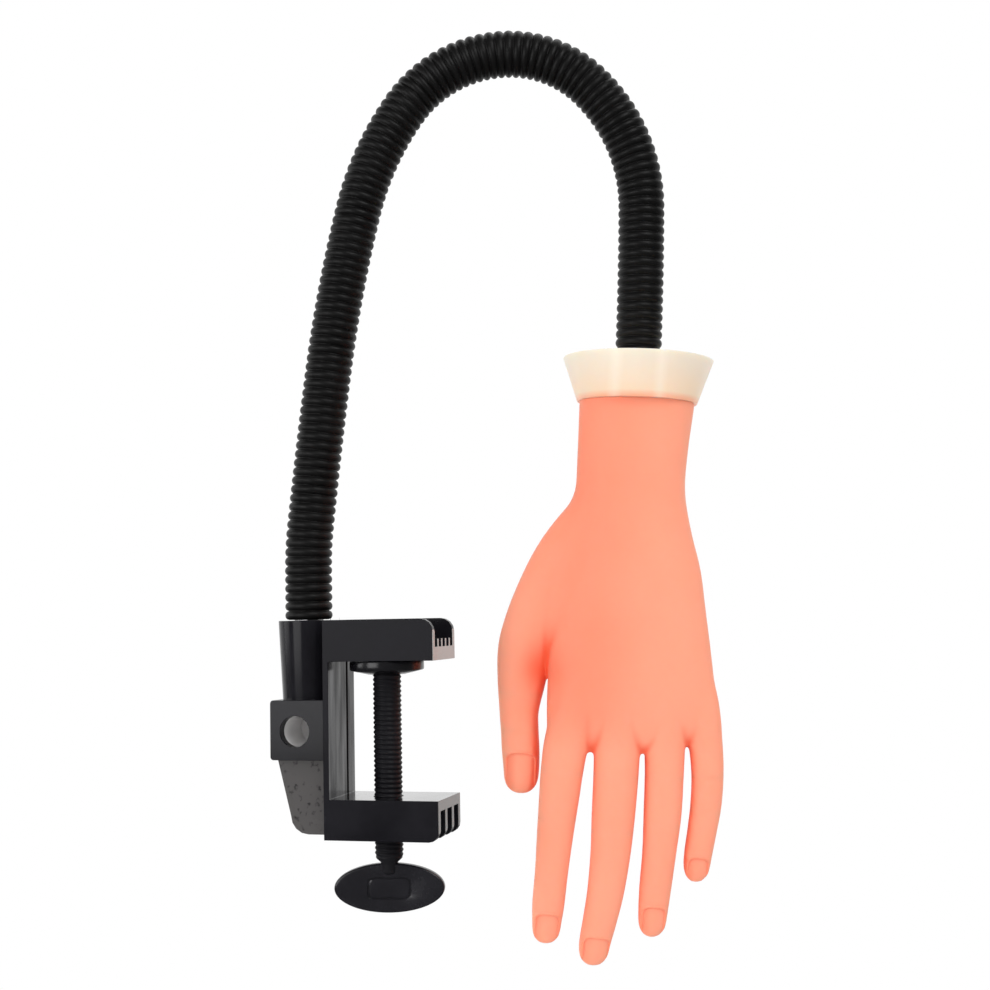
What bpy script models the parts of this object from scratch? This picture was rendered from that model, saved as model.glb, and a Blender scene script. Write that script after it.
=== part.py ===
"""A nail practice hand: a soft hand on a ribbed gooseneck that clamps to a table.

Metres, +Z up. The origin is on the clamp screw's axis, at the underside of the
upper jaw, where the table top meets the clamp. +X runs along the jaws to their
open end. The gooseneck's arch stands in a plane turned by ARCH_YAW about the
neck socket. In that plane, "across" runs to the right, "deep" away from the
viewer, and the back of the hand faces the viewer.
"""

import math

import bmesh
import bpy
from mathutils import Vector

MM = 0.001

# Fits
CLEARANCE = 0.3 * MM
CUT_OVERRUN = 1.0 * MM

# Clamp, with X measured from the neck socket's axis
SCREW_FROM_SOCKET = 31.6 * MM
CLAMP_DEPTH = 28.0 * MM
SPINE_FROM_SOCKET = 10.8 * MM
SPINE_THICKNESS = 2.2 * MM
UPPER_JAW_REACH = 54.5 * MM
UPPER_JAW_HEIGHT = 15.6 * MM
UPPER_JAW_CORNER = 5.0 * MM
UPPER_FLOOR = 5.0 * MM
UPPER_RIB_HEIGHT = 3.0 * MM
UPPER_RIB_WIDTH = 1.5 * MM
UPPER_RIBS = 4
JAW_OPENING = 51.2 * MM
LOWER_JAW_REACH = 55.7 * MM
LOWER_JAW_HEIGHT = 15.0 * MM
LOWER_JAW_CORNER = 4.0 * MM
LOWER_PLATE = 4.0 * MM
LOWER_RIB_WIDTH = 2.6 * MM
LOWER_RIBS = 2
LOWER_RIB_RECESS = 0.5 * MM
JAW_WALL = 2.6 * MM
SCREW_BOSS_RADIUS = 8.6 * MM
SOCKET_TOP_RADIUS = 11.7 * MM
SOCKET_FOOT_RADIUS = 10.2 * MM
SOCKET_HEIGHT = 31.1 * MM
CROSS_BOSS_WIDTH = 22.0 * MM
CROSS_BOSS_HEIGHT = 21.4 * MM
CROSS_BOSS_DEPTH = 25.0 * MM
CROSS_BOSS_CORNER = 1.2 * MM
CROSS_HOLE_RADIUS = 5.9 * MM
CROSS_HOLE_FROM_SOCKET = -1.3 * MM
CROSS_HOLE_DEPTH = 21.0 * MM
GUSSET_DEPTH = 15.0 * MM
GUSSET_CORNER = 7.0 * MM
GUSSET_FOOT = 15.9 * MM
GUSSET_WIDTH = 21.4 * MM

# Clamp screw, paddle and pad
SCREW_RADIUS = 5.4 * MM
SCREW_THREAD_END = 74.2 * MM
SCREW_SHOULDER = 1.6 * MM
STEM_RADIUS = 3.2 * MM
STEM_LENGTH = 6.1 * MM
STEM_END = SCREW_THREAD_END + STEM_LENGTH
PADDLE_WIDTH = 41.8 * MM
PADDLE_HEIGHT = 18.4 * MM
PADDLE_THICKNESS = 4.2 * MM
PADDLE_GAP = 0.2 * MM
PADDLE_CENTRE = SCREW_THREAD_END + SCREW_SHOULDER + PADDLE_GAP + 0.5 * PADDLE_HEIGHT
PADDLE_TURN = math.radians(12.0)
PADDLE_BEVEL = 0.8 * MM
PANEL_WIDTH = 16.9 * MM
PANEL_HEIGHT = 8.4 * MM
PANEL_DEPTH = 0.5 * MM
PAD_RADIUS = 14.2 * MM
PAD_RIM = 3.3 * MM
PAD_HEIGHT = 5.0 * MM
PAD_NECK_RADIUS = 7.2 * MM
PAD_CROWN = 2.6 * MM
PAD_SCREW_HEAD_RADIUS = 3.4 * MM
PAD_SCREW_HEAD_HEIGHT = 1.3 * MM
PAD_SCREW_RADIUS = 1.6 * MM
PAD_SCREW_LENGTH = 11.0 * MM

# Gooseneck: stretches of arc, each a length and the angle it turns through
ARCH_YAW = math.radians(15.0)
NECK_ARCS = (
    (20.0 * MM, math.radians(0.0)),
    (16.5 * MM, math.radians(6.4)),
    (60.5 * MM, math.radians(1.4)),
    (66.5 * MM, math.radians(6.5)),
    (45.0 * MM, math.radians(21.3)),
    (45.0 * MM, math.radians(50.0)),
    (40.0 * MM, math.radians(50.7)),
    (54.5 * MM, math.radians(45.4)),
    (44.0 * MM, math.radians(1.5)),
    (20.0 * MM, math.radians(0.0)),
)
NECK_LEAN = math.radians(-1.0)
LEAN_START = 353.0 * MM
LEAN_LENGTH = 25.0 * MM
NECK_STEP = 0.5 * MM
NECK_JOINTS = (
    ("neck_bend_1", 22.0 * MM, "in_plane"),
    ("neck_side_1", 75.0 * MM, "sideways"),
    ("neck_bend_2", 130.0 * MM, "in_plane"),
    ("neck_bend_3", 185.0 * MM, "in_plane"),
    ("neck_bend_4", 240.0 * MM, "in_plane"),
    ("neck_bend_5", 295.0 * MM, "in_plane"),
    ("neck_side_2", 350.0 * MM, "sideways"),
)
HOSE_CREST_RADIUS = 9.1 * MM
HOSE_VALLEY_RADIUS = 7.7 * MM
HOSE_BORE_RADIUS = 6.5 * MM
HOSE_RIB_PITCH = 3.45 * MM
HOSE_SIDES = 8
CORE_RADIUS = 5.6 * MM
CORE_SPACING = 7.0 * MM
PIN_RADIUS = 6.0 * MM
PIN_LENGTH = 24.0 * MM
PIN_BELOW_RIM = 1.5 * MM

# Wrist collar and its fastening, measured down from the collar's top face
COLLAR_TOP_RADIUS = 29.4 * MM
COLLAR_FOOT_RADIUS = 23.5 * MM
COLLAR_HEIGHT = 17.0 * MM
COLLAR_SEAT_DEPTH = 3.6 * MM
COLLAR_WEB = 5.0 * MM
SPIGOT_GAP = 1.088 * MM
SPIGOT_TAPER = 0.6 * MM
SPIGOT_WALL = 3.2 * MM
SPIGOT_LENGTH = 10.0 * MM
STUD_RADIUS = 4.2 * MM
STUD_LENGTH = 16.0 * MM
WASHER_GAP = 2.6 * MM
WASHER_THICKNESS = 1.5 * MM
NUT_RADIUS = 8.6 * MM
NUT_HEIGHT = 5.6 * MM

# Hand: places and sizes below are shares of HAND_LENGTH
HAND_LENGTH = 216.0 * MM
SKIN_WALL = 2.6 * MM
CAVITY_END_SHARE = 0.50
WIRE_RADIUS = 1.5 * MM
WIRE_INTO_TIP_SHARE = 0.55
PLATE_THICKNESS = 3.0 * MM
PLATE_WIDTH_SHARE = 0.14
PLATE_START_SHARE = 0.17
PLATE_END_SHARE = 0.47
PALM_SECTION_POWER = 2.3
DIGIT_SECTION_POWER = 2.15
DIGIT_FLATNESS = 0.90

# Each row: along the hand, across it, half width, height of the back, depth of the palm
PALM_STATIONS_share = (
    (0.000, 0, 0.1045, 0.093, 0.093),
    (0.087, -0.005, 0.1, 0.082, 0.084),
    (0.160, -0.0065, 0.099, 0.072, 0.078),
    (0.233, 0.002, 0.105, 0.066, 0.074),
    (0.297, 0.0065, 0.1185, 0.062, 0.072),
    (0.370, 0.005, 0.1315, 0.060, 0.072),
    (0.442, 0.0035, 0.1445, 0.058, 0.070),
    (0.514, 0.0065, 0.1515, 0.054, 0.064),
    (0.577, 0.012, 0.156, 0.050, 0.056),
    (0.612, 0.0125, 0.153, 0.045, 0.048),
    (0.630, 0.0135, 0.144, 0.038, 0.040),
)

# The collar's spigot fills the hollow of the wrist, and the washer fits in the spigot
WRIST_DEPTH_share = PALM_STATIONS_share[0][3]
SPIGOT_RADIUS = WRIST_DEPTH_share * HAND_LENGTH - SKIN_WALL - SPIGOT_GAP
SPIGOT_FOOT_RADIUS = SPIGOT_RADIUS - SPIGOT_TAPER
COLLAR_POCKET_RADIUS = SPIGOT_FOOT_RADIUS - SPIGOT_WALL
WASHER_RADIUS = COLLAR_POCKET_RADIUS - WASHER_GAP

# Each row: along the hand, across it, half width, lift towards the back
DIGIT_STATIONS_share = {
    "thumb": (
        (0.189, -0.042, 0.06, -0.012),
        (0.282, -0.1105, 0.058, -0.022),
        (0.374, -0.1635, 0.053, -0.030),
        (0.447, -0.1855, 0.05, -0.034),
        (0.511, -0.191, 0.044, -0.036),
        (0.565, -0.1935, 0.036, -0.037),
        (0.600, -0.191, 0.0345, -0.038),
        (0.636, -0.188, 0.0345, -0.039),
        (0.672, -0.1855, 0.0325, -0.041),
        (0.714, -0.186, 0.029, -0.044),
    ),
    "index": (
        (0.535, -0.0895, 0.041, 0.004),
        (0.616, -0.1075, 0.04, 0.003),
        (0.670, -0.114, 0.038, 0.001),
        (0.706, -0.1165, 0.0365, -0.001),
        (0.777, -0.1215, 0.033, -0.007),
        (0.848, -0.1255, 0.03, -0.016),
        (0.910, -0.129, 0.029, -0.027),
        (0.948, -0.1305, 0.026, -0.035),
        (0.980, -0.1315, 0.025, -0.042),
    ),
    "middle": (
        (0.533, -0.0185, 0.042, 0.006),
        (0.614, -0.017, 0.0415, 0.005),
        (0.667, -0.017, 0.0405, 0.003),
        (0.739, -0.019, 0.039, -0.001),
        (0.810, -0.0215, 0.036, -0.008),
        (0.881, -0.0275, 0.033, -0.018),
        (0.934, -0.0355, 0.0305, -0.028),
        (0.980, -0.043, 0.028, -0.038),
        (1.017, -0.044, 0.0255, -0.047),
    ),
    "ring": (
        (0.531, 0.0665, 0.038, 0.004),
        (0.611, 0.0685, 0.0365, 0.003),
        (0.665, 0.0695, 0.035, 0.001),
        (0.736, 0.069, 0.034, -0.004),
        (0.807, 0.066, 0.0305, -0.012),
        (0.878, 0.0615, 0.0285, -0.023),
        (0.931, 0.0595, 0.0255, -0.033),
        (0.961, 0.0595, 0.023, -0.040),
    ),
    "little": (
        (0.529, 0.1295, 0.033, 0.000),
        (0.610, 0.1425, 0.0305, -0.002),
        (0.663, 0.1475, 0.029, -0.004),
        (0.717, 0.147, 0.028, -0.009),
        (0.761, 0.1425, 0.0265, -0.014),
        (0.814, 0.1365, 0.025, -0.022),
        (0.859, 0.1345, 0.0215, -0.031),
    ),
}

# Where each digit leaves the palm, and where its second joint lies, along the hand
DIGIT_JOINTS_share = {
    "thumb": (0.556, 0.636),
    "index": (0.688, 0.812),
    "middle": (0.694, 0.842),
    "ring": (0.692, 0.818),
    "little": (0.688, 0.768),
}
TIP_ROUND_share = 0.034
TIP_RINGS_share = (0.45, 0.75, 0.92)
AXIS_STEP_share = 0.01

# Each digit's wire leaves the palm plate here, across the hand, and runs straight before its joint
PLATE_ANCHORS_share = {"thumb": -0.056, "index": -0.038, "middle": -0.012, "ring": 0.016, "little": 0.044}
HAND_TO_DIGIT_SOCKET_share = 18.0

# Mesh counts
ROUND_SIDES = 32
SMALL_SIDES = 16
ARC_STEPS = 4
PALM_SIDES = 24
DIGIT_SIDES = 14
BASE_RINGS = 4
TIP_RINGS = 7

SOCKET_AXIS = Vector((-SCREW_FROM_SOCKET, 0.0, 0.0))
ACROSS = Vector((math.cos(ARCH_YAW), math.sin(ARCH_YAW), 0.0))
DEEP = Vector((-math.sin(ARCH_YAW), math.cos(ARCH_YAW), 0.0))
UP = Vector((0.0, 0.0, 1.0))


def clear_scene():
    """Remove every object, so that the script starts from an empty scene."""
    for old in list(bpy.data.objects):
        bpy.data.objects.remove(old, do_unlink=True)


def make_material(name, colour, roughness, metallic=0.0):
    """A plain Principled material in one colour."""
    material = bpy.data.materials.new(name)
    material.use_nodes = True
    shader = material.node_tree.nodes["Principled BSDF"]
    shader.inputs["Base Color"].default_value = (*colour, 1.0)
    shader.inputs["Roughness"].default_value = roughness
    shader.inputs["Metallic"].default_value = metallic
    return material


def make_object(name, mesh_data, material):
    """Link a finished bmesh as one named object."""
    bmesh.ops.recalc_face_normals(mesh_data, faces=mesh_data.faces)
    mesh = bpy.data.meshes.new(name)
    mesh_data.to_mesh(mesh)
    mesh_data.free()
    made = bpy.data.objects.new(name, mesh)
    bpy.context.collection.objects.link(made)
    if material is not None:
        mesh.materials.append(material)
    return made


def bridge(mesh_data, ring_a, ring_b):
    """Join two rings of as many points with a band of quads."""
    count = len(ring_a)
    for i in range(count):
        j = (i + 1) % count
        mesh_data.faces.new((ring_a[i], ring_a[j], ring_b[j], ring_b[i]))


def loft(name, rings, material, inner_rings=(), through=False):
    """A closed solid through rings of points.

    inner_rings, from the same start, hollow it: through means that the hollow
    runs out at the far end as well.
    """
    mesh_data = bmesh.new()
    outer = [[mesh_data.verts.new(point) for point in ring] for ring in rings]
    inner = [[mesh_data.verts.new(point) for point in ring] for ring in inner_rings]
    for skin in (outer, inner):
        for near, far in zip(skin, skin[1:]):
            bridge(mesh_data, near, far)
    if inner:
        bridge(mesh_data, outer[0], inner[0])
    else:
        mesh_data.faces.new(outer[0])
    if through:
        bridge(mesh_data, outer[-1], inner[-1])
    else:
        mesh_data.faces.new(outer[-1])
        if inner:
            mesh_data.faces.new(inner[-1])
    return make_object(name, mesh_data, material)


def circle(centre, first, second, radius, sides):
    """Points of a circle in the plane of two unit vectors."""
    ring = []
    for i in range(sides):
        angle = 2.0 * math.pi * i / sides
        ring.append(centre + first * radius * math.cos(angle) + second * radius * math.sin(angle))
    return ring


def turned(name, profile, top, down, material, sides=ROUND_SIDES, ring_profile=False):
    """A solid of revolution about the line from top along down.

    profile rows are radius and distance along down. A ring_profile is a closed
    outline around a bore. Any other one runs from the first face to the last.
    """
    first = down.orthogonal().normalized()
    second = down.cross(first).normalized()
    rings = [circle(top + down * depth, first, second, radius, sides) for radius, depth in profile]
    if not ring_profile:
        return loft(name, rings, material)
    mesh_data = bmesh.new()
    made = [[mesh_data.verts.new(point) for point in ring] for ring in rings]
    for near, far in zip(made, made[1:] + made[:1]):
        bridge(mesh_data, near, far)
    return make_object(name, mesh_data, material)


def corner_arc(corner, toward_first, toward_second, radius):
    """Points that round a right-angled corner, from one side to the other."""
    centre = corner + (toward_first + toward_second) * radius
    points = []
    for i in range(ARC_STEPS + 1):
        angle = 0.5 * math.pi * i / ARC_STEPS
        offset = toward_second * math.cos(angle) + toward_first * math.sin(angle)
        points.append(centre - offset * radius)
    return points


def extruded(name, outline, travel, material):
    """A prism: a flat outline swept along travel."""
    near = list(outline)
    far = [point + travel for point in outline]
    return loft(name, (near, far), material)


def xz(x, z, y):
    """A point of the clamp, X from the neck socket's axis."""
    return SOCKET_AXIS + Vector((x, y, z))


def combine(target, tool, operation):
    """Add a live exact Boolean to target, and mark the tool as a helper."""
    tool.hide_render = True
    tool.display_type = "WIRE"
    modifier = target.modifiers.new(tool.name, "BOOLEAN")
    modifier.operation = operation
    modifier.solver = "EXACT"
    modifier.object = tool


def clamp_outline(y):
    """The C of the clamp: upper jaw, spine and lower jaw, in one outline."""
    right = Vector((1.0, 0.0, 0.0))
    left = -right
    spine_in = SPINE_FROM_SOCKET + SPINE_THICKNESS
    foot = -JAW_OPENING - LOWER_JAW_HEIGHT
    outline = [xz(SPINE_FROM_SOCKET, foot, y), xz(SPINE_FROM_SOCKET, UPPER_JAW_HEIGHT, y)]
    outline += corner_arc(xz(UPPER_JAW_REACH, UPPER_JAW_HEIGHT, y), left, -UP, UPPER_JAW_CORNER)
    outline += [xz(UPPER_JAW_REACH, 0.0, y), xz(spine_in, 0.0, y)]
    outline += [xz(spine_in, -JAW_OPENING, y), xz(LOWER_JAW_REACH, -JAW_OPENING, y)]
    outline += corner_arc(xz(LOWER_JAW_REACH, foot, y), UP, left, LOWER_JAW_CORNER)
    return outline


def comb_outline(x, floor_z, rib_z, open_z, ribs, rib_width):
    """A trough's section, seen along X: its floor has ribs that stand up to rib_z."""
    half = 0.5 * CLAMP_DEPTH - JAW_WALL
    gap = (2.0 * half - ribs * rib_width) / (ribs + 1)
    outline = [xz(x, open_z, -half), xz(x, floor_z, -half)]
    for i in range(ribs):
        start = -half + gap * (i + 1) + rib_width * i
        end = start + rib_width
        for y, z in ((start, floor_z), (start, rib_z), (end, rib_z), (end, floor_z)):
            outline.append(xz(x, z, y))
    outline += [xz(x, floor_z, half), xz(x, open_z, half)]
    return outline


def build_clamp_frame(black):
    """The moulded clamp body, with its socket, cross boss and ribbed jaws."""
    front = -0.5 * CLAMP_DEPTH
    frame = extruded("clamp_frame", clamp_outline(front), Vector((0.0, CLAMP_DEPTH, 0.0)), black)
    spine_in = SPINE_FROM_SOCKET + SPINE_THICKNESS
    along_jaw = Vector((UPPER_JAW_REACH, 0.0, 0.0))

    upper = comb_outline(spine_in, UPPER_FLOOR, UPPER_FLOOR + UPPER_RIB_HEIGHT,
                         UPPER_JAW_HEIGHT + CUT_OVERRUN, UPPER_RIBS, UPPER_RIB_WIDTH)
    combine(frame, extruded("cut_upper_trough", upper, along_jaw, None), "DIFFERENCE")

    jaw_foot = -JAW_OPENING - LOWER_JAW_HEIGHT
    lower = comb_outline(spine_in, -JAW_OPENING - LOWER_PLATE, jaw_foot + LOWER_RIB_RECESS,
                         jaw_foot - CUT_OVERRUN, LOWER_RIBS, LOWER_RIB_WIDTH)
    combine(frame, extruded("cut_lower_trough", lower, along_jaw, None), "DIFFERENCE")

    boss_top = Vector((0.0, 0.0, -JAW_OPENING - 0.5 * LOWER_PLATE))
    boss_height = LOWER_JAW_HEIGHT - 0.5 * LOWER_PLATE
    boss = turned("add_screw_boss", ((SCREW_BOSS_RADIUS, 0.0), (SCREW_BOSS_RADIUS, boss_height)),
                  boss_top, -UP, None)
    combine(frame, boss, "UNION")

    socket_top = SOCKET_AXIS + UP * UPPER_JAW_HEIGHT
    socket = turned("add_socket", ((SOCKET_TOP_RADIUS, 0.0), (SOCKET_FOOT_RADIUS, SOCKET_HEIGHT)),
                    socket_top, -UP, None)
    combine(frame, socket, "UNION")

    boss_z = UPPER_JAW_HEIGHT - SOCKET_HEIGHT
    overlap = 0.5 * SPINE_THICKNESS
    right = SPINE_FROM_SOCKET + overlap
    left = SPINE_FROM_SOCKET - CROSS_BOSS_WIDTH
    boss_front = -0.5 * CROSS_BOSS_DEPTH
    low_z = boss_z - CROSS_BOSS_HEIGHT
    to_right = Vector((1.0, 0.0, 0.0))
    outline = [xz(right, low_z, boss_front), xz(right, boss_z + overlap, boss_front)]
    outline += corner_arc(xz(left, boss_z + overlap, boss_front), to_right, -UP, CROSS_BOSS_CORNER)
    outline += corner_arc(xz(left, low_z, boss_front), UP, to_right, CROSS_BOSS_CORNER)
    cross_boss = extruded("add_cross_boss", outline, Vector((0.0, CROSS_BOSS_DEPTH, 0.0)), None)
    combine(frame, cross_boss, "UNION")

    gusset_front = -0.5 * GUSSET_DEPTH
    gusset_left = SPINE_FROM_SOCKET - GUSSET_WIDTH
    gusset_foot_left = SPINE_FROM_SOCKET - GUSSET_FOOT
    foot = -JAW_OPENING - LOWER_JAW_HEIGHT + overlap
    outline = [xz(right, foot, gusset_front), xz(right, low_z + overlap, gusset_front)]
    outline.append(xz(gusset_left, low_z + overlap, gusset_front))
    outline += corner_arc(xz(gusset_foot_left, foot, gusset_front), UP, to_right, GUSSET_CORNER)
    gusset = extruded("add_gusset", outline, Vector((0.0, GUSSET_DEPTH, 0.0)), None)
    combine(frame, gusset, "UNION")

    hole_mouth = xz(CROSS_HOLE_FROM_SOCKET, 0.5 * (boss_z + low_z), boss_front - CUT_OVERRUN)
    hole_depth = CROSS_HOLE_DEPTH + CUT_OVERRUN
    hole = turned("cut_cross_hole", ((CROSS_HOLE_RADIUS, 0.0), (CROSS_HOLE_RADIUS, hole_depth)),
                  hole_mouth, Vector((0.0, 1.0, 0.0)), None)
    combine(frame, hole, "DIFFERENCE")

    bore_radius = PIN_RADIUS + CLEARANCE
    bore_depth = PIN_BELOW_RIM + PIN_LENGTH + CLEARANCE + CUT_OVERRUN
    bore = turned("cut_socket_bore", ((bore_radius, 0.0), (bore_radius, bore_depth)),
                  socket_top + UP * CUT_OVERRUN, -UP, None)
    combine(frame, bore, "DIFFERENCE")

    screw_hole_radius = SCREW_RADIUS + CLEARANCE
    hole_length = LOWER_JAW_HEIGHT + CUT_OVERRUN + CUT_OVERRUN
    screw_hole = turned("cut_screw_hole", ((screw_hole_radius, 0.0), (screw_hole_radius, hole_length)),
                        Vector((0.0, 0.0, -JAW_OPENING + CUT_OVERRUN)), -UP, None)
    combine(frame, screw_hole, "DIFFERENCE")
    return frame


def build_clamp_screw(black, steel):
    """The pad, the threaded rod below it, its paddle and the small screw inside."""
    origin = Vector((0.0, 0.0, 0.0))
    pad_top = CLEARANCE
    socket_roof = pad_top + PAD_CROWN
    hole_radius = PAD_SCREW_RADIUS + CLEARANCE
    head_hole_radius = PAD_SCREW_HEAD_RADIUS + CLEARANCE
    head_seat = pad_top + CLEARANCE + PAD_SCREW_HEAD_HEIGHT + CLEARANCE
    rod_hole_radius = SCREW_RADIUS + CLEARANCE
    pad_profile = (
        (head_hole_radius, pad_top),
        (PAD_RADIUS, pad_top),
        (PAD_RADIUS, pad_top + PAD_RIM),
        (PAD_NECK_RADIUS, pad_top + PAD_HEIGHT),
        (rod_hole_radius, pad_top + PAD_HEIGHT),
        (rod_hole_radius, socket_roof),
        (hole_radius, socket_roof),
        (hole_radius, head_seat),
        (head_hole_radius, head_seat),
    )
    turned("pressure_pad", pad_profile, origin, -UP, black, ring_profile=True)

    head_top = pad_top + CLEARANCE
    head_foot = head_top + PAD_SCREW_HEAD_HEIGHT
    pad_screw_profile = (
        (PAD_SCREW_HEAD_RADIUS, head_top),
        (PAD_SCREW_HEAD_RADIUS, head_foot),
        (PAD_SCREW_RADIUS, head_foot),
        (PAD_SCREW_RADIUS, head_foot + PAD_SCREW_LENGTH),
    )
    turned("pad_screw", pad_screw_profile, origin, -UP, steel, sides=SMALL_SIDES)

    rod_top = socket_roof + CLEARANCE
    pilot_foot = head_foot + PAD_SCREW_LENGTH + CLEARANCE
    chamfer = SCREW_RADIUS - STEM_RADIUS
    rod_outer = (
        (SCREW_RADIUS, rod_top),
        (SCREW_RADIUS, SCREW_THREAD_END),
        (STEM_RADIUS, SCREW_THREAD_END + SCREW_SHOULDER),
        (STEM_RADIUS, STEM_END - chamfer),
        (STEM_RADIUS - chamfer, STEM_END),
    )
    first = Vector((1.0, 0.0, 0.0))
    second = Vector((0.0, 1.0, 0.0))
    outer = [circle(-UP * depth, first, second, radius, ROUND_SIDES) for radius, depth in rod_outer]
    pilot = (rod_top, pilot_foot)
    inner = [circle(-UP * depth, first, second, hole_radius, ROUND_SIDES) for depth in pilot]
    loft("clamp_screw", outer, black, inner_rings=inner)

    across = Vector((math.cos(PADDLE_TURN), math.sin(PADDLE_TURN), 0.0))
    backward = Vector((-math.sin(PADDLE_TURN), math.cos(PADDLE_TURN), 0.0))
    paddle_centre = -UP * PADDLE_CENTRE
    half_thick = 0.5 * PADDLE_THICKNESS
    rings = []
    for inset, depth in ((PADDLE_BEVEL, -half_thick), (0.0, PADDLE_BEVEL - half_thick),
                         (0.0, half_thick - PADDLE_BEVEL), (PADDLE_BEVEL, half_thick)):
        ring = []
        for i in range(ROUND_SIDES):
            angle = 2.0 * math.pi * i / ROUND_SIDES
            wide = (0.5 * PADDLE_WIDTH - inset) * math.cos(angle)
            high = (0.5 * PADDLE_HEIGHT - inset) * math.sin(angle)
            ring.append(paddle_centre + across * wide + UP * high + backward * depth)
        rings.append(ring)
    paddle = loft("thumb_paddle", rings, black)
    for side, sign in (("front", -1.0), ("back", 1.0)):
        panel_centre = paddle_centre + backward * sign * (half_thick - PANEL_DEPTH)
        half_wide = 0.5 * PANEL_WIDTH
        half_high = 0.5 * PANEL_HEIGHT
        corners = (
            (across * half_wide + UP * half_high, -UP, -across),
            (across * half_wide - UP * half_high, -across, UP),
            (-across * half_wide - UP * half_high, UP, across),
            (-across * half_wide + UP * half_high, across, -UP),
        )
        outline = []
        for corner, toward_next, toward_last in corners:
            outline += corner_arc(panel_centre + corner, toward_last, toward_next, 0.5 * half_high)
        travel = backward * sign * (PANEL_DEPTH + CUT_OVERRUN)
        combine(paddle, extruded("cut_panel_" + side, outline, travel, None), "DIFFERENCE")
    slot_top = PADDLE_CENTRE - 0.5 * PADDLE_HEIGHT - CUT_OVERRUN
    slot_radius = STEM_RADIUS + CLEARANCE
    slot = turned("cut_stem_slot", ((slot_radius, slot_top), (slot_radius, STEM_END + CLEARANCE)),
                  origin, -UP, None, sides=SMALL_SIDES)
    combine(paddle, slot, "DIFFERENCE")


def walk_neck():
    """Sample the gooseneck's centre line: rows of distance, point and direction."""
    length = sum(arc_length for arc_length, turn in NECK_ARCS)
    steps = round(length / NECK_STEP)
    rows = []
    point = SOCKET_AXIS + UP * UPPER_JAW_HEIGHT
    for i in range(steps + 1):
        distance = NECK_STEP * i
        heading = 0.0
        start = 0.0
        for arc_length, turn in NECK_ARCS:
            heading += turn * min(1.0, max(0.0, (distance - start) / arc_length))
            start += arc_length
        lean = NECK_LEAN * min(1.0, max(0.0, (distance - LEAN_START) / LEAN_LENGTH))
        in_plane = ACROSS * math.sin(heading) + UP * math.cos(heading)
        direction = in_plane * math.cos(lean) - DEEP * math.sin(lean)
        if rows:
            point = point + (direction + rows[-1][2]).normalized() * NECK_STEP
        rows.append((distance, point, direction))
    return rows


NECK_ROWS = walk_neck()
NECK_LENGTH = NECK_ROWS[-1][0]


def neck_at(distance):
    """Point, direction and the two cross directions of the gooseneck at a distance."""
    place = min(max(distance / NECK_STEP, 0.0), len(NECK_ROWS) - 1)
    index = min(int(place), len(NECK_ROWS) - 2)
    share = place - index
    near, far = NECK_ROWS[index], NECK_ROWS[index + 1]
    point = near[1].lerp(far[1], share)
    direction = near[2].lerp(far[2], share).normalized()
    sideways = (DEEP - direction * DEEP.dot(direction)).normalized()
    return point, direction, sideways, direction.cross(sideways)


def neck_ring(distance, radius):
    """A ring of points square to the gooseneck."""
    point, direction, sideways, inward = neck_at(distance)
    return circle(point, sideways, inward, radius, HOSE_SIDES)


def even_distances(start, end, spacing, parts=1):
    """Distances from start to end, evenly set: whole spacings, each cut into parts."""
    count = parts * max(1, round((end - start) / spacing))
    return [start + (end - start) * i / count for i in range(count + 1)]


def neck_cuts():
    """Where the gooseneck is cut into stretches: its foot, its joints and its end."""
    return [0.0] + [distance for name, distance, plane in NECK_JOINTS] + [NECK_LENGTH]


def build_neck(sleeve_black, steel):
    """The ribbed sleeve over its bendable core, in one stretch between joints each."""
    cuts = neck_cuts()
    for i, (start, end) in enumerate(zip(cuts, cuts[1:])):
        low = start + 0.5 * CLEARANCE
        high = end - 0.5 * CLEARANCE
        if i == 0:
            low = start + CLEARANCE
        places = even_distances(low, high, HOSE_RIB_PITCH, parts=2)
        outer = []
        for k, distance in enumerate(places):
            radius = HOSE_CREST_RADIUS if k % 2 else HOSE_VALLEY_RADIUS
            outer.append(neck_ring(distance, radius))
        inner_places = even_distances(low, high, CORE_SPACING)
        bore = [neck_ring(distance, HOSE_BORE_RADIUS) for distance in inner_places]
        loft("hose_%d" % (i + 1), outer, sleeve_black, inner_rings=bore, through=True)
        core_rings = [neck_ring(distance, CORE_RADIUS) for distance in inner_places]
        if i == 0:
            rim, direction, sideways, inward = neck_at(0.0)
            foot = rim - direction * (PIN_BELOW_RIM - CLEARANCE)
            core_rings.insert(0, circle(foot, sideways, inward, CORE_RADIUS, HOSE_SIDES))
        loft("core_%d" % (i + 1), core_rings, steel)

    rim = SOCKET_AXIS + UP * UPPER_JAW_HEIGHT
    pin = ((PIN_RADIUS, PIN_BELOW_RIM), (PIN_RADIUS, PIN_BELOW_RIM + PIN_LENGTH))
    turned("neck_pin", pin, rim, -UP, steel)


def collar_frame():
    """Centre of the collar's top face, the way down the hand, across it, and its back."""
    end, down, deep, inward = neck_at(NECK_LENGTH)
    across = down.cross(deep)
    if across.dot(ACROSS) < 0.0:
        across = -across
    return end - down * (COLLAR_SEAT_DEPTH - CLEARANCE), down, across, -deep


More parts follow.
